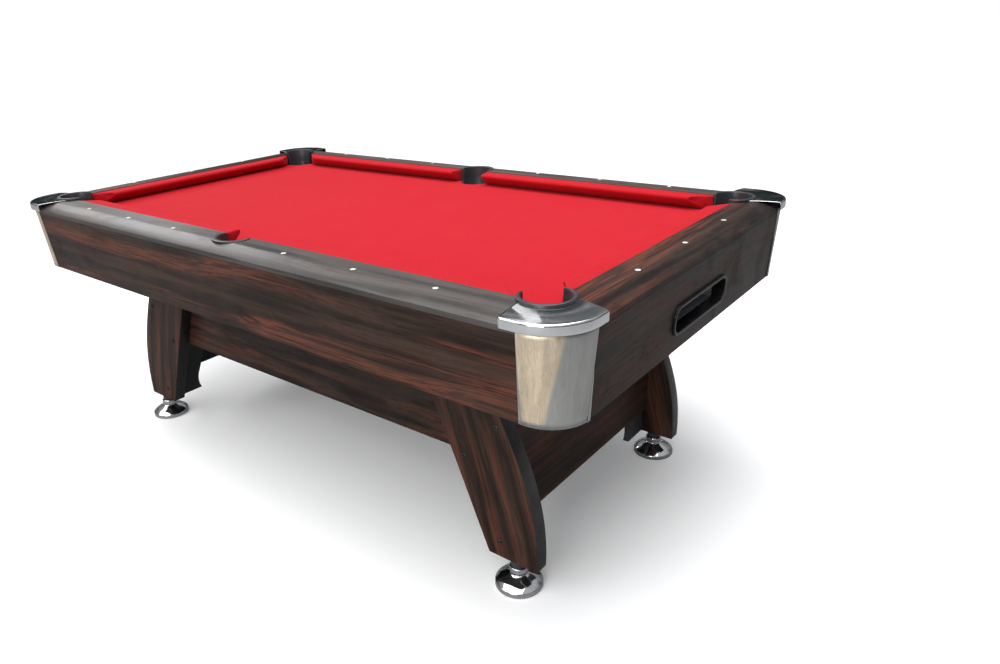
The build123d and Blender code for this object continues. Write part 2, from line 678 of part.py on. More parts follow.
def foot_pad():
    """The round pad that stands on the floor inside the rim, with a boss under the stem's nut."""
    pad = post_cylinder(FOOT_X, FOOT_Y, PAD_R, 0, PAD)
    return pad + post_cylinder(FOOT_X, FOOT_Y, 12.0, PAD, STEM_BOTTOM - FOOT_GAP)


# ---------------------------------------------------------------- write every node
rail_back = long_rail()
rail_return = end_rail()
save("rail_back", rail_back)
save("rail_front", mirror(rail_back, about=Plane.XZ))
save("rail_return_end", rail_return)
save("rail_head_end", mirror(rail_return, about=Plane.YZ))

cushion = long_cushion()
for quarter, (sx, sy) in QUARTERS.items():
    save(f"cushion_{quarter}", to_quarter(cushion, sx, sy))
cushion = end_cushion()
save("cushion_return_end", cushion)
save("cushion_head_end", mirror(cushion, about=Plane.YZ))

save("sights", sights())
save("rail_bolts", rail_bolts())
save("bed_board", bed_board())
save("bed_cloth", bed_cloth())
save("bed_frame", bed_frame())

thin_wall = apron_ring(APRON)
thick_wall = apron_ring(POST)
apron_back = thin_wall & box_between((-APRON_END_X, 0, 0), (APRON_END_X, 800, 1000))
apron_return = thin_wall & box_between((0, -APRON_END_Y, 0), (1200, APRON_END_Y, 1000))
save("apron_back", apron_back)
save("apron_front", mirror(apron_back, about=Plane.XZ))
save("apron_head_end", mirror(apron_return, about=Plane.YZ))
save("apron_return_end", apron_return - return_hole())
save("corner_posts", corner_posts(thin_wall, thick_wall))
save("cabinet_floor", cabinet_floor())

trim = corner_trim()
trims = Part()
cap = corner_cap()
liner = corner_pocket()
for quarter, (sx, sy) in QUARTERS.items():
    trims += to_quarter(trim, sx, sy)
    save(f"corner_cap_{quarter}", to_quarter(cap, sx, sy))
    save(f"corner_pocket_{quarter}", to_quarter(liner, sx, sy))
save("corner_trims", trims)
liner = side_pocket()
save("side_pocket_back", liner)
save("side_pocket_front", mirror(liner, about=Plane.XZ))

save("return_bezel", return_bezel())
save("ball_tray", ball_tray())
runway = ball_runway()
save("ball_runway_back", runway)
save("ball_runway_front", mirror(runway, about=Plane.XZ))

plate = leg_plate()
panel = leg_inner_panel()
stem = foot_stem()
dome = foot_dome()
pad = foot_pad()
bush = leveller_bush()
panels = Part()
bushes = Part()
for quarter, (sx, sy) in QUARTERS.items():
    save(f"leg_{quarter}", to_quarter(plate, sx, sy))
    save(f"foot_stem_{quarter}", to_quarter(stem, sx, sy))
    save(f"foot_dome_{quarter}", to_quarter(dome, sx, sy))
    save(f"foot_pad_{quarter}", to_quarter(pad, sx, sy))
    panels += to_quarter(panel, sx, sy)
    bushes += to_quarter(bush, sx, sy)
save("leg_inner_panels", panels)
save("leveller_bushes", bushes)
save("leg_bolts", leg_bolts())
save("leg_brackets", leg_brackets())
skirt = long_skirt()
save("skirt_back", skirt)
save("skirt_front", mirror(skirt, about=Plane.XZ))
skirt = end_skirt()
save("skirt_return_end", skirt)
save("skirt_head_end", mirror(skirt, about=Plane.YZ))
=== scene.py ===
import math

import bmesh
import bpy
import numpy as np
from mathutils import Matrix, Vector


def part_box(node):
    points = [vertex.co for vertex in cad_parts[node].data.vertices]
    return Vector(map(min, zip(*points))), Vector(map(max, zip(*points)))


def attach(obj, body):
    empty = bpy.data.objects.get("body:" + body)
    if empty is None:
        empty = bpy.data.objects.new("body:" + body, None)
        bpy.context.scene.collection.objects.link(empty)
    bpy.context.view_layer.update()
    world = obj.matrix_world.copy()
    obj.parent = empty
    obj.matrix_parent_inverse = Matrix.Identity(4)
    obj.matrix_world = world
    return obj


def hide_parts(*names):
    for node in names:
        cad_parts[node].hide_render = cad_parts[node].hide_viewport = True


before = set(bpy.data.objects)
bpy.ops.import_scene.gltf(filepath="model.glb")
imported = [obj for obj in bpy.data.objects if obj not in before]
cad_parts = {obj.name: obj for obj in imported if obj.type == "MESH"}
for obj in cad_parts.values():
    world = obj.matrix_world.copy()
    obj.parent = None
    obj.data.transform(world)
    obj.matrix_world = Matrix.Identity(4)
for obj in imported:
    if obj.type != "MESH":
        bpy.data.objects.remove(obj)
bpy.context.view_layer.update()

QUARTERS = {"front_head": (-1, -1), "front_return": (1, -1), "back_head": (-1, 1), "back_return": (1, 1)}
TURN = 2 * math.pi

# Levels and edges, read from the frame.
RAIL_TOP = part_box("rail_back")[1].z
BED_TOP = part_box("bed_cloth")[1].z
WOOD = Vector((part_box("rail_return_end")[0].x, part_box("rail_back")[0].y, 0))
NOSE = Vector((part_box("cushion_return_end")[0].x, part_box("cushion_back_return")[0].y, 0))
CORNER = (0.930, 0.480)
SIDE = (0.0, 0.508)
POCKET_CUT = 0.0545
CLOTH_GAP = 0.0005

# The aprons lean outwards: half sizes and corner radius at their foot, and what each gains on the way up.
APRON_FOOT_Z = 0.594
APRON_HIGH = 0.204
APRON_FOOT = (1.036, 0.585, 0.0876)
APRON_GAIN = (0.0145, 0.0195, 0.0160)


# ---------------------------------------------------------------- camera
def look_from(place, azimuth, elevation, roll):
    """The matrix of a camera at a place: azimuth turns it from +Y towards +X, elevation tips it down."""
    azimuth, elevation, roll = (math.radians(angle) for angle in (azimuth, elevation, roll))
    level = math.cos(elevation)
    forward = Vector((math.sin(azimuth) * level, math.cos(azimuth) * level, -math.sin(elevation)))
    right = forward.cross(Vector((0, 0, 1))).normalized()
    up = right.cross(forward)
    right, up = (
        math.cos(roll) * right + math.sin(roll) * up,
        math.cos(roll) * up - math.sin(roll) * right,
    )
    turned = Matrix((right, up, -forward)).transposed().to_4x4()
    return Matrix.Translation(place) @ turned


lens = bpy.data.cameras.new("camera")
lens.sensor_width = 36.0
lens.lens = 27.312
lens.shift_x = 0.0421
lens.shift_y = -0.0282
lens.clip_end = 200
camera = bpy.data.objects.new("camera", lens)
camera.matrix_world = look_from((1.6610, -1.6196, 1.3076), -39.797, 20.364, -2.667)
bpy.context.scene.collection.objects.link(camera)
bpy.context.scene.camera = camera


# ---------------------------------------------------------------- light and floor
def soft_box(name, place, aim, width, height, watts):
    """A rectangular light at a place, facing the aim."""
    light = bpy.data.lights.new(name, "AREA")
    light.shape = "RECTANGLE"
    light.size = width
    light.size_y = height
    light.energy = watts
    box = bpy.data.objects.new(name, light)
    way = Vector(aim) - Vector(place)
    box.matrix_world = Matrix.Translation(place) @ way.to_track_quat("-Z", "Y").to_matrix().to_4x4()
    bpy.context.scene.collection.objects.link(box)


soft_box("light_over_table", (0.6, 0.2, 3.4), (0.2, 0, 0.7), 2.6, 1.8, 60)
soft_box("light_front_left", (-2.4, -4.2, 2.6), (0, 0, 0.6), 2.2, 1.6, 20)
soft_box("light_front_right", (1.4, -4.6, 1.9), (0.4, 0, 0.6), 2.4, 1.6, 76)
soft_box("light_head_end", (-4.3, 0.8, 3.1), (0, -0.5, 0.8), 2.0, 1.6, 48)
soft_box("light_strip_behind", (-2.45, 4.40, 3.3), (0.96, -0.58, 0.82), 0.24, 1.5, 0.9)

daylight = bpy.data.lights.new("even_light", "SUN")
daylight.energy = 2.5
daylight.angle = math.radians(70)
sky = bpy.data.objects.new("even_light", daylight)
sky.matrix_world = look_from((0, 0, 4), 20.0, 68.0, 0.0)
bpy.context.scene.collection.objects.link(sky)

# The room is bright where it is seen directly and overhead, and greyer towards the horizon where metal
# mirrors it.
world = bpy.data.worlds.new("pale_room")
world.use_nodes = True
bpy.context.scene.world = world
bpy.context.scene.view_settings.view_transform = "Standard"


# ---------------------------------------------------------------- node helpers
def feed(tree, socket, value):
    """Links a socket to another, or sets it; a colour is given by its red, green and blue."""
    if isinstance(value, bpy.types.NodeSocket):
        tree.links.new(value, socket)
    elif socket.type == "RGBA":
        socket.default_value = (*value, 1)
    else:
        socket.default_value = value


def put(tree, kind, inputs=(), **settings):
    """Adds a node, sets its properties, and feeds each input given by name or number."""
    made = tree.nodes.new("ShaderNode" + kind)
    for key, value in settings.items():
        setattr(made, key, value)
    for key, value in dict(inputs).items():
        feed(tree, made.inputs[key], value)
    return made


def calc(tree, operation, a, b=0.0):
    """One arithmetic step on values."""
    return put(tree, "Math", {0: a, 1: b}, operation=operation).outputs[0]


def plus(tree, a, b):
    """The sum of two values."""
    return calc(tree, "ADD", a, b)


def minus(tree, a, b):
    """What is left of one value after another is taken away."""
    return calc(tree, "SUBTRACT", a, b)


def times(tree, a, b):
    """The product of two values."""
    return calc(tree, "MULTIPLY", a, b)


def mixed(tree, share, a, b):
    """Colour a turned into colour b by a share."""
    return put(tree, "Mix", {0: share, 6: a, 7: b}, data_type="RGBA").outputs[2]


def curve(tree, value, low, high, to_low=0.0, to_high=1.0):
    """A value taken from one range to another, eased at both ends."""
    inputs = {"Value": value, "From Min": low, "From Max": high, "To Min": to_low, "To Max": to_high}
    return put(tree, "MapRange", inputs, interpolation_type="SMOOTHSTEP").outputs[0]


def dimmed(colour, share):
    """A darker colour of the same hue."""
    return tuple(share * part for part in colour)


def noise(tree, place, scale, detail=2.0, rough=0.5, bend=0.0):
    """Fractal noise at a place, as a value."""
    inputs = {"Vector": place, "Scale": scale, "Detail": detail, "Roughness": rough, "Distortion": bend}
    return put(tree, "TexNoise", inputs).outputs["Fac"]


def stretched(tree, place, by):
    """A place stretched along its axes."""
    return put(tree, "VectorMath", {0: place, 1: by}, operation="MULTIPLY").outputs[0]


def scaled(tree, value, by):
    """A place or a colour scaled evenly."""
    return put(tree, "VectorMath", {0: value, "Scale": by}, operation="SCALE").outputs[0]


def group(name, inputs, outputs):
    """An empty node group with named sockets, and its two end nodes."""
    tree = bpy.data.node_groups.new(name, "ShaderNodeTree")
    for side, sockets in (("INPUT", inputs), ("OUTPUT", outputs)):
        for key, kind in sockets.items():
            tree.interface.new_socket(name=key, in_out=side, socket_type="NodeSocket" + kind)
    return tree, tree.nodes.new("NodeGroupInput").outputs, tree.nodes.new("NodeGroupOutput").inputs


def use(tree, made, inputs):
    """Places a node group in a material with its own values."""
    node = tree.nodes.new("ShaderNodeGroup")
    node.node_tree = made
    for key, value in inputs.items():
        feed(tree, node.inputs[key], value)
    return node.outputs


room = world.node_tree
way = put(room, "TexCoord").outputs["Generated"]
height_share = curve(room, put(room, "SeparateXYZ", {0: way}).outputs[2], 0.18, 0.85)
patches = noise(room, stretched(room, way, (1.0, 1.0, 1.6)), 4.5, 2.0, 0.5, 0.8)
walls = mixed(room, curve(room, patches, 0.46, 0.60), (0.016, 0.022, 0.021), (0.24, 0.24, 0.25))
above = mixed(room, height_share, walls, (0.46, 0.47, 0.49))
seen = room.nodes.new("ShaderNodeLightPath").outputs["Is Camera Ray"]
room.links.new(mixed(room, seen, above, (1, 1, 1)), room.nodes["Background"].inputs["Color"])
room.nodes["Background"].inputs["Strength"].default_value = 1.0


# ---------------------------------------------------------------- shared effects
def laminate_grain_group():
    """Printed walnut grain that runs along X: broad figure, red-brown streaks and fine dark pores."""
    tree, given, out = group(
        "laminate_grain",
        {
            "Place": "Vector",
            "Dark": "Color",
            "Middle": "Color",
            "Streak": "Color",
            "Streak Share": "Float",
        },
        {"Colour": "Color", "Roughness": "Float", "Height": "Float"},
    )
    sway = noise(tree, stretched(tree, given["Place"], (1.1, 5.0, 5.0)), 1.0, 2.0)
    sway = times(tree, sway, 0.09)
    sway = put(tree, "CombineXYZ", {0: 0.0, 1: sway, 2: sway})
    place = put(tree, "VectorMath", {0: given["Place"], 1: sway.outputs[0]}, operation="ADD").outputs[0]
    figure = noise(tree, stretched(tree, place, (1.5, 34.0, 34.0)), 1.0, 5.0, 0.62, 0.35)
    bands = noise(tree, stretched(tree, place, (1.0, 17.0, 17.0)), 1.0, 3.0, 0.55, 0.2)
    lines = noise(tree, stretched(tree, place, (5.0, 170.0, 170.0)), 1.0, 3.0, 0.6)
    pores = noise(tree, stretched(tree, place, (16.0, 620.0, 620.0)), 1.0, 2.0, 0.5)
    colour = mixed(tree, curve(tree, figure, 0.36, 0.64), given["Dark"], given["Middle"])
    streak = times(tree, curve(tree, bands, 0.42, 0.60), curve(tree, lines, 0.42, 0.60, 0.12, 1.0))
    colour = mixed(tree, times(tree, streak, given["Streak Share"]), colour, given["Streak"])
    dark_line = times(tree, curve(tree, lines, 0.40, 0.30), 0.55)
    colour = mixed(tree, dark_line, colour, given["Dark"])
    pore = times(tree, curve(tree, pores, 0.40, 0.30), 0.5)
    colour = mixed(tree, pore, colour, (0.004, 0.003, 0.003))
    rough = plus(tree, curve(tree, figure, 0.3, 0.7, 0.30, 0.40), times(tree, pore, 0.12))
    height = minus(tree, times(tree, lines, 0.25), pore)
    tree.links.new(colour, out["Colour"])
    tree.links.new(rough, out["Roughness"])
    tree.links.new(height, out["Height"])
    return tree


def cloth_weave_group():
    """Worsted cloth: two crossed sets of fine threads, uneven dye, and a nap that catches the light."""
    tree, given, out = group(
        "cloth_weave",
        {"Place": "Vector", "Cloth": "Color", "Threads": "Float", "Unevenness": "Float"},
        {"Colour": "Color", "Roughness": "Float", "Height": "Float"},
    )
    split = put(tree, "SeparateXYZ", {0: scaled(tree, given["Place"], given["Threads"])}).outputs
    warp = calc(tree, "SINE", times(tree, split[0], TURN))
    weft = calc(tree, "SINE", times(tree, plus(tree, split[1], split[2]), TURN))
    weave = times(tree, warp, weft)
    fibres = noise(tree, given["Place"], 900.0, 3.0, 0.7)
    fluff = noise(tree, given["Place"], 150.0, 3.0, 0.6)
    dye = noise(tree, given["Place"], 3.0, 2.0, 0.5)
    shade = times(tree, weave, 0.05)
    for pattern, share in ((fibres, 0.55), (fluff, 0.24), (dye, 0.10)):
        shade = plus(tree, shade, times(tree, minus(tree, pattern, 0.5), share))
    shade = plus(tree, times(tree, shade, given["Unevenness"]), 1.0)
    height = plus(tree, times(tree, weave, 0.3), fibres)
    tree.links.new(scaled(tree, given["Cloth"], shade), out["Colour"])
    tree.links.new(curve(tree, fluff, 0.3, 0.7, 0.82, 0.96), out["Roughness"])
    tree.links.new(height, out["Height"])
    return tree


def handling_group():
    """Finger smudges and hairline scuffs on a polished face, as a change of roughness and some height."""
    tree, given, out = group(
        "handling_marks",
        {"Place": "Vector", "Polish": "Float", "Smudge": "Float", "Size": "Float"},
        {"Roughness": "Float", "Height": "Float", "Mask": "Float"},
    )
    cloud = noise(tree, given["Place"], given["Size"], 4.0, 0.6, 0.6)
    spots = noise(tree, given["Place"], times(tree, given["Size"], 7.0), 2.0, 0.5)
    mask = times(tree, curve(tree, cloud, 0.45, 0.72), curve(tree, spots, 0.3, 0.6, 0.5, 1.0))
    hair = noise(tree, stretched(tree, given["Place"], (900.0, 60.0, 60.0)), 1.0, 1.0)
    hair = curve(tree, hair, 0.66, 0.72)
    rough = plus(tree, given["Polish"], times(tree, mask, given["Smudge"]))
    rough = plus(tree, rough, times(tree, hair, 0.05))
    tree.links.new(rough, out["Roughness"])
    tree.links.new(times(tree, hair, -1.0), out["Height"])
    tree.links.new(mask, out["Mask"])
    return tree


def brushing_group():
    """Fine parallel brush lines along Z, uneven in length, with wider soft bands between them."""
    tree, given, out = group(
        "brush_lines",
        {"Place": "Vector", "Polish": "Float", "Depth": "Float", "Fineness": "Float"},
        {"Shade": "Float", "Roughness": "Float", "Height": "Float"},
    )
    fine = stretched(tree, given["Place"], (1.0, 1.0, 0.012))
    lines = noise(tree, fine, given["Fineness"], 3.0, 0.7)
    bands = noise(tree, stretched(tree, given["Place"], (1.0, 1.0, 0.10)), 60.0, 3.0, 0.6, 0.3)
    rough = plus(tree, given["Polish"], times(tree, lines, given["Depth"]))
    shade = plus(tree, curve(tree, lines, 0.3, 0.7, 0.0, 0.55), curve(tree, bands, 0.35, 0.65, 0.0, 0.45))
    tree.links.new(shade, out["Shade"])
    tree.links.new(plus(tree, rough, curve(tree, bands, 0.4, 0.7, 0.0, 0.08)), out["Roughness"])
    tree.links.new(lines, out["Height"])
    return tree


def moulded_group():
    """The fine pebbled skin of moulded plastic, with faint flow marks."""
    tree, given, out = group(
        "moulded_skin",
        {"Place": "Vector", "Grain": "Float", "Polish": "Float"},
        {"Roughness": "Float", "Height": "Float", "Flow": "Float"},
    )
    cells = put(tree, "TexVoronoi", {"Vector": given["Place"], "Scale": given["Grain"]}, feature="SMOOTH_F1")
    flow = noise(tree, given["Place"], 14.0, 3.0, 0.5, 0.8)
    tree.links.new(plus(tree, given["Polish"], curve(tree, flow, 0.3, 0.7, -0.05, 0.08)), out["Roughness"])
    tree.links.new(cells.outputs["Distance"], out["Height"])
    tree.links.new(flow, out["Flow"])
    return tree


def dust_group():
    """Pale dust and lint in soft patches with small specks, as a mask."""
    tree, given, out = group("dust", {"Place": "Vector", "Amount": "Float"}, {"Mask": "Float"})
    patch = curve(tree, noise(tree, given["Place"], 9.0, 4.0, 0.6), 0.42, 0.75)
    speck = curve(tree, noise(tree, given["Place"], 420.0, 2.0, 0.5), 0.62, 0.72)
    both = plus(tree, times(tree, patch, 0.5), times(tree, speck, 0.6))
    tree.links.new(times(tree, both, given["Amount"]), out["Mask"])
    return tree


LAMINATE = laminate_grain_group()
WEAVE = cloth_weave_group()
HANDLING = handling_group()
BRUSHING = brushing_group()
MOULDED = moulded_group()
DUST = dust_group()


# ---------------------------------------------------------------- materials
def start(name, **shader):
    """A material with one Principled shader, its constant sockets set, and its Object coordinates."""
    material = bpy.data.materials.new(name)
    material.use_nodes = True
    tree = material.node_tree
    surface = tree.nodes["Principled BSDF"]
    for key, value in shader.items():
        surface.inputs[key.replace("_", " ")].default_value = value
    place = tree.nodes.new("ShaderNodeTexCoord").outputs["Object"]
    return material, tree, surface.inputs, place


def turned(tree, place, turn):
    """Object coordinates turned by degrees about X, Y and Z, so a pattern along X follows the piece."""
    angles = tuple(math.radians(angle) for angle in turn)
    return put(tree, "Mapping", {"Vector": place, "Rotation": angles}).outputs[0]


def bump(tree, height, distance, strength):
    """A normal from a height in metres."""
    return put(tree, "Bump", {"Height": height, "Distance": distance, "Strength": strength}).outputs[0]


def walnut(name, turn, dark, middle, streak, share, back=None, gloss=0.10):
    """Walnut-print laminate under a satin lacquer; on the legs the grain leans alike on both sides of the
    table's middle. back is an axis and a level, nearer the middle than which the board is painted slate."""
    material, tree, surface, place = start(name, Specular_IOR_Level=gloss)
    if turn[1]:
        split = put(tree, "SeparateXYZ", {0: place}).outputs
        outwards = calc(tree, "ABSOLUTE", split[0])
        place = put(tree, "CombineXYZ", {0: outwards, 1: split[1], 2: split[2]}).outputs[0]
    figure = {"Place": turned(tree, place, turn), "Dark": dark, "Middle": middle, "Streak": streak}
    grain = use(tree, LAMINATE, {**figure, "Streak Share": share})
    marks = use(tree, HANDLING, {"Place": place, "Polish": 0.0, "Smudge": 0.16, "Size": 7.0})
    dust = use(tree, DUST, {"Place": place, "Amount": 0.06})["Mask"]
    colour = mixed(tree, dust, grain["Colour"], (0.28, 0.26, 0.24))
    rough = plus(tree, grain["Roughness"], marks["Roughness"])
    if back:
        axis, level = back
        along = put(tree, "SeparateXYZ", {0: place}).outputs[axis]
        inside = calc(tree, "LESS_THAN", calc(tree, "ABSOLUTE", along), level)
        colour = mixed(tree, inside, colour, (0.045, 0.047, 0.052))
        rough = plus(tree, rough, times(tree, inside, 0.2))
    tree.links.new(colour, surface["Base Color"])
    tree.links.new(rough, surface["Roughness"])
    tree.links.new(bump(tree, grain["Height"], 0.00012, 0.7), surface["Normal"])
    return material


def red_cloth(name, cloth, threads, unevenness, sheen):
    """Red worsted billiard cloth."""
    material, tree, surface, place = start(
        name, Sheen_Weight=sheen, Sheen_Roughness=0.45, Specular_IOR_Level=0.18
    )
    feed(tree, surface["Sheen Tint"], (1.0, 0.45, 0.45))
    weave = use(tree, WEAVE, {"Place": place, "Cloth": cloth, "Threads": threads, "Unevenness": unevenness})
    dust = use(tree, DUST, {"Place": place, "Amount": 0.012})["Mask"]
    tree.links.new(mixed(tree, dust, weave["Colour"], (0.75, 0.4, 0.4)), surface["Base Color"])
    tree.links.new(weave["Roughness"], surface["Roughness"])
    tree.links.new(bump(tree, weave["Height"], 0.0003, 0.5), surface["Normal"])
    return material


def polished(name, colour, polish, smudge, size):
    """Polished plated metal with handling marks."""
    material, tree, surface, place = start(name, Metallic=1.0)
    marks = use(tree, HANDLING, {"Place": place, "Polish": polish, "Smudge": smudge, "Size": size})
    dust = use(tree, DUST, {"Place": place, "Amount": 0.12})["Mask"]
    shade = mixed(tree, marks["Mask"], colour, dimmed(colour, 0.86))
    tree.links.new(mixed(tree, dust, shade, (0.42, 0.41, 0.40)), surface["Base Color"])
    tree.links.new(plus(tree, marks["Roughness"], times(tree, dust, 0.5)), surface["Roughness"])
    tree.links.new(bump(tree, marks["Height"], 0.00002, 0.4), surface["Normal"])
    return material


def brushed(name, dark, light, reflected_ground_tone, polish, depth, fineness):
    """Sheet metal brushed up and down, with a painted reflection: cream-toned over the long side, as of lit
    ground mirrored in it, and greyer round the bend, as of ground in shadow. The edge between the two leans,
    from just over half way round at the top to a third at the bottom."""
    material, tree, surface, place = start(name, Metallic=0.9)
    lines = use(tree, BRUSHING, {"Place": place, "Polish": polish, "Depth": depth, "Fineness": fineness})
    marks = use(tree, HANDLING, {"Place": place, "Polish": 0.0, "Smudge": 0.12, "Size": 12.0})
    split = put(tree, "SeparateXYZ", {0: put(tree, "UVMap", uv_map="along_and_up").outputs[0]}).outputs
    wander = times(tree, minus(tree, lines["Shade"], 0.5), 0.03)
    along = plus(tree, split[0], wander)
    far = plus(tree, times(tree, split[1], 0.17), 0.37)
    near = times(tree, minus(tree, 1.0, split[1]), 0.11)
    # Painted reflection: how much of the cream tone of mirrored lit ground shows, against the greyer steel
    # of mirrored shade round the bend.
    painted_reflection_share = calc(
        tree,
        "MULTIPLY",
        curve(tree, minus(tree, far, along), -0.012, 0.03),
        curve(tree, minus(tree, along, near), -0.01, 0.03),
    )
    painted_reflection_share = times(tree, painted_reflection_share, curve(tree, split[1], 0.02, 0.08))
    steel = mixed(tree, lines["Shade"], dark, light)
    painted_ground_reflection = mixed(tree, lines["Shade"], dimmed(reflected_ground_tone, 0.62), reflected_ground_tone)
    tree.links.new(mixed(tree, painted_reflection_share, steel, painted_ground_reflection), surface["Base Color"])
    tree.links.new(plus(tree, lines["Roughness"], marks["Roughness"]), surface["Roughness"])
    tree.links.new(bump(tree, lines["Height"], 0.00006, 0.6), surface["Normal"])
    return material


def plastic(name, dark, light, polish, grain, height=0.00005, coat=0.0, gloss=0.5):
    """Moulded plastic or rubber with a fine skin and a little dust."""
    material, tree, surface, place = start(
        name, Coat_Weight=coat, Coat_Roughness=0.06, Specular_IOR_Level=gloss
    )
    skin = use(tree, MOULDED, {"Place": place, "Grain": grain, "Polish": polish})
    marks = use(tree, HANDLING, {"Place": place, "Polish": 0.0, "Smudge": 0.14, "Size": 16.0})
    dust = use(tree, DUST, {"Place": place, "Amount": 0.10})["Mask"]
    colour = mixed(tree, skin["Flow"], dark, light)
    tree.links.new(mixed(tree, dust, colour, (0.30, 0.29, 0.28)), surface["Base Color"])
    tree.links.new(plus(tree, skin["Roughness"], marks["Roughness"]), surface["Roughness"])
    tree.links.new(bump(tree, skin["Height"], height, 0.5), surface["Normal"])
    return material


def pearl():
    """Pearl plastic: pale layers that curl through the disc under a gloss."""
    material, tree, surface, place = start("pearl", Coat_Weight=0.6, Coat_Roughness=0.05, Roughness=0.2)
    layers = noise(tree, stretched(tree, place, (90, 240, 90)), 1.0, 3.0, 0.5, 2.0)
    colour = mixed(tree, curve(tree, layers, 0.3, 0.7), (0.62, 0.62, 0.60), (0.93, 0.92, 0.90))
    tree.links.new(colour, surface["Base Color"])
    return material


def raw_board():
    """Pressed board: pale fibres and darker flecks."""
    material, tree, surface, place = start("raw_board", Specular_IOR_Level=0.2)
    fibres = noise(tree, place, 260.0, 4.0, 0.7, 0.4)
    flecks = curve(tree, noise(tree, stretched(tree, place, (120, 260, 500)), 1.0, 2.0), 0.6, 0.7)
    colour = mixed(tree, fibres, (0.17, 0.115, 0.07), (0.36, 0.27, 0.18))
    colour = mixed(tree, times(tree, flecks, 0.6), colour, (0.10, 0.06, 0.035))
    tree.links.new(colour, surface["Base Color"])
    tree.links.new(curve(tree, fibres, 0.3, 0.7, 0.75, 0.9), surface["Roughness"])
    tree.links.new(bump(tree, fibres, 0.0003, 0.5), surface["Normal"])
    return material


def threaded_steel():
    """Zinc-plated steel; below the leg it carries thread lines every two millimetres up the stem."""
    material, tree, surface, place = start("zinc_steel", Metallic=1.0)
    split = put(tree, "SeparateXYZ", {0: place}).outputs
    thread = calc(tree, "SINE", times(tree, split[2], TURN / 0.002))
    cloud = noise(tree, place, 90.0, 3.0, 0.6)
    tree.links.new(mixed(tree, cloud, (0.36, 0.37, 0.38), (0.58, 0.58, 0.56)), surface["Base Color"])
    tree.links.new(curve(tree, cloud, 0.3, 0.7, 0.28, 0.45), surface["Roughness"])
    tree.links.new(bump(tree, thread, 0.0004, 0.8), surface["Normal"])
    return material


ALONG, ACROSS, UPRIGHT = (0, 0, 0), (0, 0, 90), (0, 105, 0)
DARK = (0.019, 0.0120, 0.0095)
MIDDLE = (0.060, 0.034, 0.025)
STREAK = (0.180, 0.052, 0.031)
WALNUT_LONG = walnut("walnut_along_the_table", ALONG, DARK, MIDDLE, STREAK, 0.75)
# The end aprons' walnut is darker than the long aprons': a painted shade on the ends, which lie away from
# the light.
WALNUT_ACROSS_PAINTED_SHADE = walnut(
    "walnut_across_the_ends_painted_shade", ACROSS, (0.014, 0.0105, 0.0095), (0.036, 0.024, 0.020), (0.11, 0.036, 0.024),
    0.45,
)
# The long rails' walnut is lighter and greyer than the aprons': the grain is the laminate's own, and the
# grey lift is a painted sheen.
RAIL_LONG_PAINTED_SHEEN = walnut(
    "walnut_long_rails_painted_sheen", ALONG, (0.034, 0.030, 0.028), (0.076, 0.068, 0.064), (0.115, 0.078, 0.064),
    0.45, gloss=0.35,
)
# The end rails' walnut is darker than the long rails': a painted shade on the ends.
RAIL_ACROSS_PAINTED_SHADE = walnut(
    "walnut_end_rails_painted_shade", ACROSS, (0.016, 0.012, 0.011), (0.042, 0.028, 0.023), (0.16, 0.045, 0.026),
    0.7, gloss=0.08,
)
WALNUT_UPRIGHT = walnut("walnut_legs", UPRIGHT, DARK, MIDDLE, STREAK, 0.5)
# The long skirts' walnut is darker than the aprons': a painted shade under the cabinet's overhang. Their
# slate backs are real paint.
SKIRT_LONG_PAINTED_SHADE = walnut(
    "walnut_long_skirts_painted_shade", ALONG, (0.014, 0.0100, 0.0085), (0.044, 0.029, 0.023), STREAK,
    0.4, back=(1, 0.3545),
)
SKIRT_ACROSS = walnut("walnut_end_skirts", ACROSS, DARK, MIDDLE, STREAK, 0.5, back=(0, 0.7605))
BED_RED = red_cloth("bed_cloth_red", (0.425, 0.0062, 0.0145), 620.0, 0.55, 0.03)
CUSHION_RED = red_cloth("cushion_cloth_red", (0.415, 0.0056, 0.0128), 620.0, 0.6, 0.03)
CHROME = polished("cap_chrome", (0.80, 0.81, 0.82), 0.035, 0.10, 14.0)
FOOT_CHROME = polished("foot_chrome", (0.78, 0.78, 0.79), 0.05, 0.12, 40.0)
# Brushed steel for the corner trims: its cream and grey tones are a painted reflection of lit and shaded
# ground.
TRIM_STEEL_PAINTED_REFLECTION = brushed(
    "brushed_trim_painted_reflection", (0.37, 0.375, 0.365), (0.53, 0.535, 0.515), (1.0, 0.84, 0.63), 0.34, 0.20, 700.0
)
LINER = plastic("pocket_liner", (0.022, 0.025, 0.029), (0.038, 0.042, 0.048), 0.30, 900.0)
GLOSS_BLACK = plastic(
    "gloss_black_frame", (0.005, 0.005, 0.006), (0.009, 0.009, 0.010), 0.16, 1200.0, 0.00002, gloss=0.25
)
TROUGH = plastic("trough_plastic", (0.20, 0.215, 0.235), (0.26, 0.275, 0.30), 0.45, 700.0)
EDGE_BLACK = plastic(
    "black_edge_paint", (0.006, 0.006, 0.006), (0.013, 0.012, 0.012), 0.30, 420.0, 0.00012, coat=0.15
)
SLATE = plastic("slate_painted_board", (0.035, 0.036, 0.040), (0.055, 0.057, 0.062), 0.55, 500.0, 0.0001)
BOLT_BLACK = plastic("black_bolts", (0.008, 0.008, 0.009), (0.016, 0.016, 0.017), 0.28, 1500.0, 0.00002)
PAD_BLACK = plastic("pad_rubber", (0.014, 0.014, 0.014), (0.024, 0.024, 0.024), 0.65, 600.0, 0.0001)
PEARL = pearl()
BOARD = raw_board()
ZINC = threaded_steel()

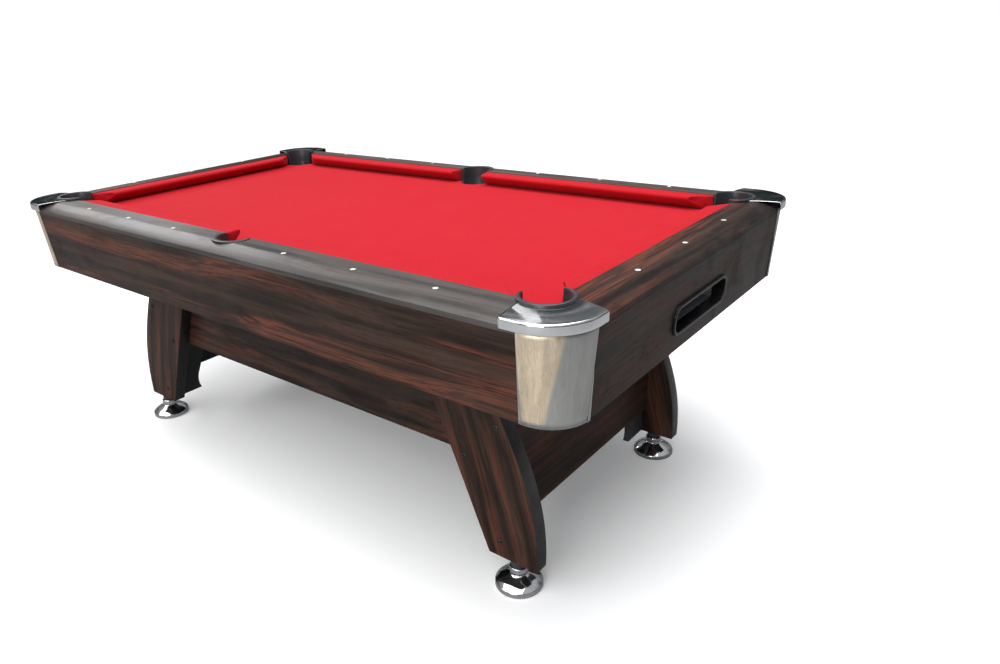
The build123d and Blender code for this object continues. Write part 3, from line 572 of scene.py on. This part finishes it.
# The floor is pale where it is seen directly and a quiet grey in what it throws back on the table.
floor_material, floor_tree, floor_surface, floor_place = start(
    "pale_floor", Roughness=0.6, Specular_IOR_Level=0.1
)
floor_seen = put(floor_tree, "LightPath").outputs["Is Camera Ray"]
floor_shade = noise(floor_tree, floor_place, 1.3, 3.0)
floor_pale = mixed(floor_tree, floor_shade, (0.94, 0.94, 0.94), (0.97, 0.97, 0.97))
floor_colour = mixed(floor_tree, floor_seen, (0.32, 0.32, 0.32), floor_pale)
floor_tree.links.new(floor_colour, floor_surface["Base Color"])
floor_tree.links.new(times(floor_tree, floor_seen, 0.12), floor_surface["Emission Strength"])
feed(floor_tree, floor_surface["Emission Color"], (1, 1, 1))


def finish_node(node, material):
    """Gives a CAD node its material."""
    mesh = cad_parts[node].data
    mesh.materials.clear()
    mesh.materials.append(material)


FINISHES = {
    "rail_bolts": ZINC,
    "bed_board": BOARD,
    "bed_frame": BOARD,
    "corner_posts": SLATE,
    "cabinet_floor": SLATE,
    "ball_tray": TROUGH,
    "ball_runway_front": LINER,
    "ball_runway_back": LINER,
    "leg_inner_panels": SLATE,
    "leveller_bushes": LINER,
    "leg_brackets": ZINC,
}
for side in ("front", "back"):
    FINISHES |= {f"rail_{side}": RAIL_LONG_PAINTED_SHEEN, f"apron_{side}": WALNUT_LONG, f"skirt_{side}": SKIRT_LONG_PAINTED_SHADE}
for side in ("head_end", "return_end"):
    FINISHES |= {f"rail_{side}": RAIL_ACROSS_PAINTED_SHADE, f"apron_{side}": WALNUT_ACROSS_PAINTED_SHADE, f"skirt_{side}": SKIRT_ACROSS}
for node, material in FINISHES.items():
    finish_node(node, material)
for quarter in QUARTERS:
    finish_node(f"foot_stem_{quarter}", ZINC)
    finish_node(f"foot_pad_{quarter}", PAD_BLACK)


# ---------------------------------------------------------------- surfaces
def grid_faces(rows, columns, round_rows, round_columns):
    """Four-cornered faces between neighbouring rows and columns, wrapping where the grid closes."""
    i, j = np.meshgrid(
        np.arange(rows if round_rows else rows - 1),
        np.arange(columns if round_columns else columns - 1),
        indexing="ij",
    )
    k, m = (i + 1) % rows, (j + 1) % columns
    return np.stack([i * columns + j, k * columns + j, k * columns + m, i * columns + m], -1).reshape(-1, 4)


def build(name, grids, material, body="table", replaced=(), round_rows=False, round_columns=False,
          closed=True, wall=0.0, crease=35.0, faces_of=None, mapped=None):
    """One piece from grids of points. Rows and columns close where told; a closed piece has its normals set
    outward; an open one gets a wall behind it where a wall's thickness is given. faces_of gives each face of
    a grid its material's number.
    mapped adds a UV map of the share along the rows and the columns; it says for each grid whether its rows
    are reversed."""
    points, faces, kinds, shares, start_at = [], [], [], [], 0
    for grid in grids:
        rows, columns = grid.shape[:2]
        cells = grid_faces(rows, columns, round_rows, round_columns)
        points.append(grid.reshape(-1, 3))
        faces.append(cells + start_at)
        kinds.append(np.zeros(len(cells), int) if faces_of is None else faces_of(rows, columns))
        turned_rows = bool(mapped) and mapped[len(shares)]
        along = np.linspace(1, 0, rows) if turned_rows else np.linspace(0, 1, rows)
        along, over = np.meshgrid(along, np.linspace(0, 1, columns), indexing="ij")
        shares.append(np.stack([along, over], -1).reshape(-1, 2))
        start_at += rows * columns
    mesh = bpy.data.meshes.new(name)
    mesh.from_pydata(np.concatenate(points).tolist(), [], np.concatenate(faces).tolist())
    for each in material if isinstance(material, (list, tuple)) else [material]:
        mesh.materials.append(each)
    mesh.polygons.foreach_set("material_index", np.concatenate(kinds).astype(np.int32))
    if mapped:
        corners = np.empty(len(mesh.loops), np.int32)
        mesh.loops.foreach_get("vertex_index", corners)
        layer = mesh.uv_layers.new(name="along_and_up")
        layer.data.foreach_set("uv", np.concatenate(shares)[corners].astype(np.float32).reshape(-1))
    work = bmesh.new()
    work.from_mesh(mesh)
    bmesh.ops.remove_doubles(work, verts=work.verts, dist=2e-6)
    bmesh.ops.dissolve_degenerate(work, dist=1e-7, edges=work.edges)
    if closed:
        bmesh.ops.recalc_face_normals(work, faces=work.faces)
    work.to_mesh(mesh)
    work.free()
    mesh.shade_smooth()
    mesh.set_sharp_from_angle(angle=math.radians(crease))
    piece = bpy.data.objects.new(name, mesh)
    bpy.context.scene.collection.objects.link(piece)
    if wall:
        solid = piece.modifiers.new("wall", "SOLIDIFY")
        solid.thickness = wall
        solid.offset = -1.0
    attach(piece, body)
    if replaced:
        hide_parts(*replaced)
    return piece


def in_quarter(grid, sx, sy):
    """A grid drawn in the +X +Y quarter, mirrored to another; where that turns it inside out, its rows are
    reversed."""
    made = grid * np.array([sx, sy, 1.0])
    return made[::-1] if sx * sy < 0 else made


def lathe(profile, centre, steps=96):
    """Radius and height pairs turned about an upright line through the centre."""
    angle = np.linspace(0, TURN, steps, endpoint=False)[:, None]
    radius, height = profile[None, :, 0], profile[None, :, 1]
    x = centre[0] + radius * np.cos(angle)
    y = centre[1] + radius * np.sin(angle)
    return np.stack([x, y, np.broadcast_to(centre[2] + height, x.shape)], -1)


def rounded_path(half_x, half_y, radius, steps=24):
    """A rounded rectangle about the origin, from the middle of its right side all the way round, with its
    outward directions: straight sides joined by quarter circles."""
    turn = np.linspace(0, math.pi / 2, steps)
    points, normals = [], []
    for number, (sx, sy) in enumerate(((1, 1), (-1, 1), (-1, -1), (1, -1))):
        angle = turn + number * math.pi / 2
        way = np.stack([np.cos(angle), np.sin(angle)], -1)
        points.append(np.array([sx * (half_x - radius), sy * (half_y - radius)]) + radius * way)
        normals.append(way)
    return np.concatenate(points), np.concatenate(normals)


def smooth_step(t):
    """0 below 0 and 1 above 1, eased between."""
    t = np.clip(t, 0, 1)
    return t * t * (3 - 2 * t)


# ---------------------------------------------------------------- bed cloth
def half_width(x):
    """How far the bed cloth reaches from the middle line at x: to the rails, or to a pocket's circle."""
    reach = np.full_like(x, WOOD.y - CLOTH_GAP)
    side = np.abs(x) < math.sqrt(POCKET_CUT**2 - (SIDE[1] - WOOD.y + CLOTH_GAP) ** 2)
    reach = np.where(side, SIDE[1] - np.sqrt(np.maximum(POCKET_CUT**2 - x**2, 0)), reach)
    off = np.abs(x) - CORNER[0]
    corner = off > -POCKET_CUT
    return np.where(corner, CORNER[1] - np.sqrt(np.maximum(POCKET_CUT**2 - off**2, 0)), reach)


end = WOOD.x - CLOTH_GAP
turning = np.sin(np.linspace(-math.pi / 2, math.pi / 2, 49))
across = np.concatenate(
    [
        -CORNER[0] + POCKET_CUT * turning,
        np.linspace(-0.87, -0.056, 60),
        0.054 * turning,
        np.linspace(0.056, 0.87, 60),
        CORNER[0] + POCKET_CUT * turning,
    ]
)
across = np.unique(np.clip(across, -end, end))
reach = half_width(across)
open_edge = (reach < WOOD.y - 0.001).astype(float)
share = np.concatenate([[-1.0], np.linspace(-1, 1, 61), [1.0]])
fall = np.zeros_like(share)
fall[[0, -1]] = 1.0
cloth = np.stack(
    [
        np.broadcast_to(across[:, None], (len(across), len(share))),
        reach[:, None] * share[None, :],
        BED_TOP - 0.0075 * fall[None, :] * open_edge[:, None] - 0.0002 * fall[None, :],
    ],
    -1,
)
bed = build("bed_cloth_sheet", [cloth], BED_RED, replaced=["bed_cloth"], closed=False)


# ---------------------------------------------------------------- cushions
def cushion_profile(steps=14):
    """The cushion's section as depth from the rail and height from the rail top: nearly flat on top, a
    rounded nose, and an undercut face that runs back to the bed."""
    depth = NOSE_DEPTH
    top = np.stack([np.linspace(0.0006, depth - 0.008, 10), np.linspace(-0.0010, -0.0028, 10)], -1)
    top[0, 1] = -0.0022
    angle = np.linspace(math.radians(78), math.radians(-60), steps)
    nose = np.stack([depth - 0.0068 + 0.0066 * np.cos(angle), -0.0094 + 0.0066 * np.sin(angle)], -1)
    face = np.stack([np.linspace(depth - 0.0046, 0.0165, 8), np.linspace(-0.0166, -0.0405, 8)], -1)
    back = np.stack([np.linspace(0.0120, 0.0006, 4), np.full(4, -0.0410)], -1)
    up = np.stack([np.full(5, 0.0006), np.linspace(-0.036, -0.006, 5)], -1)
    return np.concatenate([top, nose, face, back, up])


NOSE_DEPTH = WOOD.y - NOSE.y


def cushion(back, nose, steps=70):
    """A cushion along u, from -1 to 1 where it has two like ends: at each depth the run goes from the back
    edge's end to the nose's end, and the last rows draw in, so the cloth folds round the facing."""
    profile = cushion_profile()
    (back_low, back_high), (nose_low, nose_high) = back, nose
    share = profile[:, 0] / NOSE_DEPTH
    low = back_low + (nose_low - back_low) * share
    high = back_high + (nose_high - back_high) * share
    along = np.linspace(0, 1, steps)[:, None]
    run = low[None, :] + (high - low)[None, :] * along
    depth = np.broadcast_to(profile[None, :, 0], run.shape)
    height = np.broadcast_to(profile[None, :, 1], run.shape)
    body = np.stack([run, depth, height], -1)
    middle = profile.mean(0)
    fold = np.array([0.0, 0.25, 0.55, 0.82, 1.0])
    draw = np.array([0.0, 0.03, 0.10, 0.22, 1.0])
    ends = []
    for row, way in ((body[0], -1.0), (body[-1], 1.0)):
        centre = np.array([row[:, 0].mean(), middle[0], middle[1]])
        rows = row[None] + (centre - row)[None] * draw[:, None, None]
        rows[..., 0] = row[None, :, 0] + way * 0.0024 * np.sin(fold * math.pi / 2)[:, None]
        rows[-1] = rows[-1].mean(0)
        ends.append(rows[1:])
    return np.concatenate([ends[0][::-1], body, ends[1]])


# How far each cushion's board stops short of the pockets at its back and nose, and the folded cloth's room.
side_back, side_nose, corner_back, corner_nose = 0.0570, 0.0640, 0.0770, 0.0820
fold_room = 0.003
long_run = cushion(
    (side_back + fold_room, WOOD.x - corner_back - fold_room),
    (side_nose + fold_room, NOSE.x - corner_nose - fold_room),
)
for quarter, (sx, sy) in QUARTERS.items():
    placed = np.stack([long_run[..., 0], WOOD.y - long_run[..., 1], RAIL_TOP + long_run[..., 2]], -1)
    piece = build(
        f"cushion_{quarter}_in_cloth",
        [in_quarter(placed, sx, sy)],
        CUSHION_RED,
        replaced=[f"cushion_{quarter}"],
        round_columns=True,
        crease=50,
    )
half_back, half_nose = WOOD.y - corner_back - fold_room, NOSE.y - corner_nose - fold_room
end_run = cushion((-half_back, half_back), (-half_nose, half_nose))
for end_name, sx in (("return_end", 1), ("head_end", -1)):
    placed = np.stack([sx * (WOOD.x - end_run[..., 1]), end_run[..., 0], RAIL_TOP + end_run[..., 2]], -1)
    piece = build(
        f"cushion_{end_name}_in_cloth",
        [placed],
        CUSHION_RED,
        replaced=[f"cushion_{end_name}"],
        round_columns=True,
        crease=50,
    )


# ---------------------------------------------------------------- pocket liners
def liner(rim, rim_top, rim_bottom, mouth, soften, taper, steps=144):
    """A pocket liner turned about an upright line. At each angle the section is part way between the full
    one, with a rounded rim and a tall wall, and the low one at the mouth, whose wall stops under the cloth.
    The rim narrows towards the mouth over the taper."""
    angle = np.linspace(0, TURN, steps, endpoint=False)
    tall = mouth(angle, soften)
    round_rim = (rim_top - rim_bottom) * 0.5
    bow = np.linspace(math.pi, 0, 9)
    inner, outer = 0.0505, 0.0535
    low_top = BED_TOP - 0.010
    half = (rim - inner) / 2
    crown = np.stack(
        [inner + half + half * np.cos(bow), rim_top - round_rim + round_rim * np.sin(bow) ** 0.7], -1
    )
    full = np.concatenate(
        [
            [[0.0440, BED_TOP - 0.042]],
            [[inner - 0.0025, BED_TOP - 0.022]],
            [[inner, low_top]],
            [[inner, BED_TOP + 0.012]],
            crown,
            [[rim, rim_bottom]],
            [[0.0545, rim_bottom]],
            [[outer, BED_TOP + 0.012]],
            [[outer, BED_TOP - 0.006]],
            [[0.0470, BED_TOP - 0.042]],
        ]
    )
    low = full.copy()
    low[:, 1] = np.minimum(low[:, 1], low_top)
    low[:, 0] = np.where(full[:, 1] > low_top, np.clip(low[:, 0], inner, outer), low[:, 0])
    share = tall[:, None, None]
    section = low[None] + (full - low)[None] * share
    proud = section[..., 0] - 0.0538
    section[..., 0] -= np.maximum(proud, 0) * (1 - mouth(angle, taper)[:, None])
    x = section[..., 0] * np.cos(angle)[:, None]
    y = section[..., 0] * np.sin(angle)[:, None]
    return np.stack([x, y, section[..., 1]], -1)


def diagonal_mouth(angle, soften):
    """0 within 48 degrees of the line to the table's middle, 1 beyond, eased over the softening angle."""
    away = np.abs((angle - math.radians(225) + math.pi) % TURN - math.pi)
    return smooth_step((away - math.radians(48)) / soften)


def straight_mouth(angle, soften):
    """0 on the table's side of the rail's edge, 1 behind it."""
    return smooth_step((np.sin(angle) * 0.060 + (SIDE[1] - WOOD.y)) / soften)


corner_liner = liner(
    0.060, RAIL_TOP + 0.0085, RAIL_TOP + 0.0031, diagonal_mouth, math.radians(5), math.radians(45)
)
corner_liner = corner_liner + np.array([CORNER[0], CORNER[1], 0])
for quarter, (sx, sy) in QUARTERS.items():
    build(
        f"corner_liner_{quarter}",
        [in_quarter(corner_liner, sx, sy)],
        LINER,
        replaced=[f"corner_pocket_{quarter}"],
        round_rows=True,
        round_columns=True,
        crease=40,
    )
side_liner = liner(0.065, RAIL_TOP + 0.0026, RAIL_TOP + 0.0001, straight_mouth, 0.006, 0.030)
side_liner = side_liner + np.array([SIDE[0], SIDE[1], 0])
for name, sy in (("front", -1), ("back", 1)):
    build(
        f"side_liner_{name}",
        [in_quarter(side_liner, 1, sy)],
        LINER,
        replaced=[f"side_pocket_{name}"],
        round_rows=True,
        round_columns=True,
        crease=40,
    )


# ---------------------------------------------------------------- sights
sight_profile = np.array(
    [[0.0, -0.001], [0.0064, -0.001], [0.0064, 0.0001], [0.0060, 0.0003], [0.0040, 0.0005], [0.0, 0.0006]]
)
SIGHT_STEP = 0.237
SIGHT_LINE = (0.997, 0.547)
sight_places = [
    (sx * step * SIGHT_STEP, sy * SIGHT_LINE[1]) for sx in (-1, 1) for sy in (-1, 1) for step in (1, 2, 3)
] + [(sx * SIGHT_LINE[0], step * SIGHT_STEP) for sx in (-1, 1) for step in (-1, 0, 1)]
build(
    "sight_inlays",
    [lathe(sight_profile, (x, y, RAIL_TOP), 32) for x, y in sight_places],
    PEARL,
    replaced=["sights"],
    round_rows=True,
)


# ---------------------------------------------------------------- corner caps and trims
CAP_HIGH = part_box("corner_cap_back_return")[1]
CAP_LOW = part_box("corner_cap_back_return")[0]


def corner_run(low_x, low_y, half_x, half_y, radius, straight=10, bend=40):
    """A rounded rectangle's corner: along the long side, round the bend, and down the short side."""
    angle = np.linspace(math.pi / 2, 0, bend)
    arc = np.stack([half_x - radius + radius * np.cos(angle), half_y - radius + radius * np.sin(angle)], -1)
    along = np.linspace(low_x, half_x - radius, straight, endpoint=False)
    first = np.stack([along, np.full(straight, half_y)], -1)
    last = np.stack([np.full(straight, half_x), np.linspace(half_y - radius, low_y, straight + 1)[1:]], -1)
    return np.concatenate([first, arc, last])


def corner_cap():
    """A pressed cap: each row runs from the pocket's edge over the flat top, round the rolled edge and down
    the lip to a small inward curl. Its outer run is a rounded rectangle's corner, drawn in by the roll."""
    roll, steps = 0.0052, 10
    outer = corner_run(0.9134, 0.4795, CAP_HIGH.x, CAP_HIGH.y, 0.111)
    drawn = corner_run(0.9125, 0.4780, CAP_HIGH.x - roll, CAP_HIGH.y - roll, 0.111 - roll)
    count = len(outer)
    angle = np.linspace(math.atan2(0.0470, -0.0290), math.atan2(-0.0240, 0.0510), count)
    inner = np.array(CORNER) + 0.0565 * np.stack([np.cos(angle), np.sin(angle)], -1)
    top = CAP_HIGH.z
    inside = np.concatenate([inner, np.full((count, 1), top - 0.002)], 1)
    edge = np.concatenate([inner, np.full((count, 1), top)], 1)
    rows = [inside, edge]
    for share in np.linspace(0.06, 1, 12):
        flat = inner + (drawn - inner) * share
        crown = 0.0011 * math.sin(share * math.pi)
        rows.append(np.concatenate([flat, np.full((count, 1), top - 0.0002 + crown)], 1))
    way = (outer - drawn) / roll
    for bend in np.linspace(0, math.pi / 2, steps)[1:]:
        place = drawn + way * roll * math.sin(bend)
        rows.append(np.concatenate([place, np.full((count, 1), top - roll * (1 - math.cos(bend)))], 1))
    foot = CAP_LOW.z
    for height, tuck in ((foot + 0.008, 0.0), (foot + 0.0025, 0.0), (foot + 0.0008, 0.0008), (foot, 0.0030)):
        rows.append(np.concatenate([outer - way * tuck, np.full((count, 1), height)], 1))
    return np.stack(rows, 1)


cap = corner_cap()
for quarter, (sx, sy) in QUARTERS.items():
    build(
        f"chrome_cap_{quarter}",
        [in_quarter(cap, sx, sy)],
        CHROME,
        replaced=[f"corner_cap_{quarter}"],
        closed=False,
        wall=0.0012,
        crease=60,
    )


def corner_trim(levels=16):
    """A thin bent sheet over the cabinet's corner: at each level the run round a rounded rectangle whose
    half sizes grow straight from the cabinet's bottom to its top; its ends stop against the panels."""
    low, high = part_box("corner_trims")
    proud = 0.0016
    runs = []
    for height in np.linspace(low.z, high.z, levels):
        share = (height - low.z) / APRON_HIGH
        half_x, half_y, radius = (foot + gain * share for foot, gain in zip(APRON_FOOT, APRON_GAIN))
        low_x, low_y = 0.935 + 0.009 * share, 0.509 - 0.015 * share
        run = corner_run(low_x, low_y, half_x + proud, half_y + proud, radius, 14, 44)
        runs.append(np.concatenate([run, np.full((len(run), 1), height)], 1))
    return np.stack(runs, 1)


trim = corner_trim()
build(
    "corner_trim_sheets",
    [in_quarter(trim[::-1], sx, sy) for sx, sy in QUARTERS.values()],
    TRIM_STEEL_PAINTED_REFLECTION,
    replaced=["corner_trims"],
    closed=False,
    wall=0.0011,
    crease=60,
    mapped=[sx * sy > 0 for sx, sy in QUARTERS.values()],
)


# ---------------------------------------------------------------- ball return
def return_frame():
    """The moulded frame round the ball return: one section carried round a rounded oblong on the leaning end
    panel. The section goes out over a rounded flange and in through the panel as a sleeve."""
    low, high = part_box("return_bezel")
    middle = (low.z + high.z) / 2
    rise = (middle - APRON_FOOT_Z) / APRON_HIGH
    slope = math.atan2(APRON_GAIN[0], APRON_HIGH)
    face = APRON_FOOT[0] + APRON_GAIN[0] * rise
    bow = np.linspace(0, math.pi / 2, 7)
    proud, lip, edge, thick, deep = 0.0060, 0.0028, 0.0024, 0.0022, 0.0225
    opening = 0.0088
    section = np.concatenate(
        [
            [[0.0, 0.0]],
            np.stack([-lip + lip * np.cos(bow), proud - lip + lip * np.sin(bow)], -1),
            np.stack([edge - opening - edge * np.sin(bow), proud - edge + edge * np.cos(bow)], -1),
            [[-opening, -deep]],
            [[thick - opening, -deep]],
            [[thick - opening, 0.0]],
        ]
    )
    outline, way = rounded_path(0.150, 0.0375, 0.030)
    inset = section[None, :, 0, None]
    flat = outline[:, None, :] + way[:, None, :] * inset
    out = np.broadcast_to(section[None, :, 1], flat.shape[:2])
    across, up = flat[..., 0], flat[..., 1]
    x = face + out * math.cos(slope) + up * math.sin(slope)
    z = middle - out * math.sin(slope) + up * math.cos(slope)
    return np.stack([x, across, z], -1)


build(
    "ball_return_frame",
    [return_frame()],
    GLOSS_BLACK,
    replaced=["return_bezel"],
    round_rows=True,
    round_columns=True,
    crease=45,
)


# ---------------------------------------------------------------- legs
LEG_LOW, LEG_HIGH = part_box("leg_back_return")


def leg_plate(rows=56, face_steps=8):
    """The leg's face plate. At each height the section is a rectangle with eased corners between the
    straight inner edge and the bowed outer edge; the bow is a quartic near the edge's points."""
    height = np.linspace(LEG_LOW.z, LEG_HIGH.z, rows)
    edge_height = [0.597, 0.459, 0.359, 0.242, 0.162, 0.077]
    edge_reach = [0.683, 0.749, 0.796, 0.834, 0.846, 0.847]
    outer = np.polyval(np.polyfit(edge_height, edge_reach, 4), height)
    inner = np.interp(height, [LEG_LOW.z, LEG_HIGH.z], [0.704, 0.488])
    ease = 0.0022
    front, back = LEG_HIGH.y, LEG_LOW.y
    turn = np.linspace(0, math.pi / 2, 5)
    face = np.linspace(0, 1, face_steps)
    left, right = inner[:, None], outer[:, None]
    one = np.ones((rows, 1))
    x = np.concatenate(
        [
            left + ease + (right - left - 2 * ease) * face,
            right - ease + ease * np.sin(turn),
            right - ease + ease * np.cos(turn),
            right - ease - (right - left - 2 * ease) * face,
            left + ease - ease * np.sin(turn),
            left + ease - ease * np.cos(turn),
        ],
        1,
    )
    y = np.concatenate(
        [
            one * np.full(face_steps, front),
            one * (front - ease + ease * np.cos(turn)),
            one * (back + ease - ease * np.sin(turn)),
            one * np.full(face_steps, back),
            one * (back + ease - ease * np.cos(turn)),
            one * (front - ease + ease * np.sin(turn)),
        ],
        1,
    )
    z = np.broadcast_to(height[:, None], x.shape)
    plate = np.stack([x, y, z], -1)
    foot, head = plate[:1].copy(), plate[-1:].copy()
    foot_in = foot.copy()
    foot_in[..., 0] = np.clip(foot[..., 0], 0.760, 0.800)
    foot_in[..., 1] = (front + back) / 2
    head_in = head.copy()
    head_in[..., 0] = np.clip(head[..., 0], 0.560, 0.620)
    head_in[..., 1] = (front + back) / 2
    return np.concatenate([foot_in, foot, plate, head, head_in])


def leg_kinds(rows, columns, face_steps=8):
    """0 on the laminate faces and 1 on the painted edges, for each face of the plate's grid."""
    painted = np.ones(columns, int)
    painted[: face_steps - 1] = 0
    back_start = face_steps + 10
    painted[back_start : back_start + face_steps - 1] = 0
    kinds = np.broadcast_to(painted[None, :], (rows - 1, columns)).copy()
    kinds[:2] = 1
    kinds[-2:] = 1
    return kinds.reshape(-1)


leg = leg_plate()
for quarter, (sx, sy) in QUARTERS.items():
    build(
        f"leg_plate_{quarter}",
        [in_quarter(leg, sx, sy)],
        [WALNUT_UPRIGHT, EDGE_BLACK],
        replaced=[f"leg_{quarter}"],
        round_columns=True,
        crease=40,
        faces_of=leg_kinds,
    )

bolt_profile = np.array(
    [[0.0, 0.0012], [0.0026, 0.0012], [0.0029, 0.0030], [0.0040, 0.0035], [0.0058, 0.0031], [0.0069, 0.0020],
     [0.0070, 0.0], [0.0040, -0.0005], [0.0040, -0.060], [0.0, -0.060]]
)
bolt_grids = []
for x, z in ((0.737, 0.432), (0.737, 0.117), (0.640, 0.324)):
    turned_bolt = lathe(bolt_profile, (0, 0, 0), 36)
    laid = np.stack([x + turned_bolt[..., 0], LEG_HIGH.y + turned_bolt[..., 2], z + turned_bolt[..., 1]], -1)
    bolt_grids += [in_quarter(laid, sx, sy) for sx, sy in QUARTERS.values()]
build("leg_cap_bolts", bolt_grids, BOLT_BLACK, replaced=["leg_bolts"], round_rows=True)


# ---------------------------------------------------------------- feet
dome_profile = np.array(
    [
        [0.0082, 0.0290], [0.0082, 0.0558], [0.0205, 0.0560], [0.0222, 0.0556], [0.0232, 0.0545],
        [0.0235, 0.0530], [0.0235, 0.0400], [0.0230, 0.0385], [0.0222, 0.0375], [0.0222, 0.0360],
        [0.0240, 0.0345], [0.0300, 0.0315], [0.0380, 0.0280], [0.0460, 0.0240], [0.0520, 0.0200],
        [0.0555, 0.0168], [0.0576, 0.0150], [0.0589, 0.0138], [0.0595, 0.0122], [0.0595, 0.0030],
        [0.0590, 0.0014], [0.0580, 0.0010], [0.0570, 0.0014], [0.0566, 0.0030], [0.0566, 0.0110],
        [0.0500, 0.0165], [0.0380, 0.0235], [0.0260, 0.0280],
    ]
)
for quarter, (sx, sy) in QUARTERS.items():
    low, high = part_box(f"foot_dome_{quarter}")
    centre = ((low.x + high.x) / 2, (low.y + high.y) / 2, 0.0)
    build(
        f"foot_bell_{quarter}",
        [lathe(dome_profile, centre, 128)],
        FOOT_CHROME,
        body=f"foot_{quarter}",
        replaced=[f"foot_dome_{quarter}"],
        round_rows=True,
        round_columns=True,
        crease=40,
    )

# ---------------------------------------------------------------- floor
floor_mesh = bpy.data.meshes.new("floor")
floor_mesh.from_pydata([(-60, -60, 0), (60, -60, 0), (60, 60, 0), (-60, 60, 0)], [], [(0, 1, 2, 3)])
floor_mesh.materials.append(floor_material)
floor = bpy.data.objects.new("floor", floor_mesh)
bpy.context.scene.collection.objects.link(floor)

bpy.context.view_layer.update()
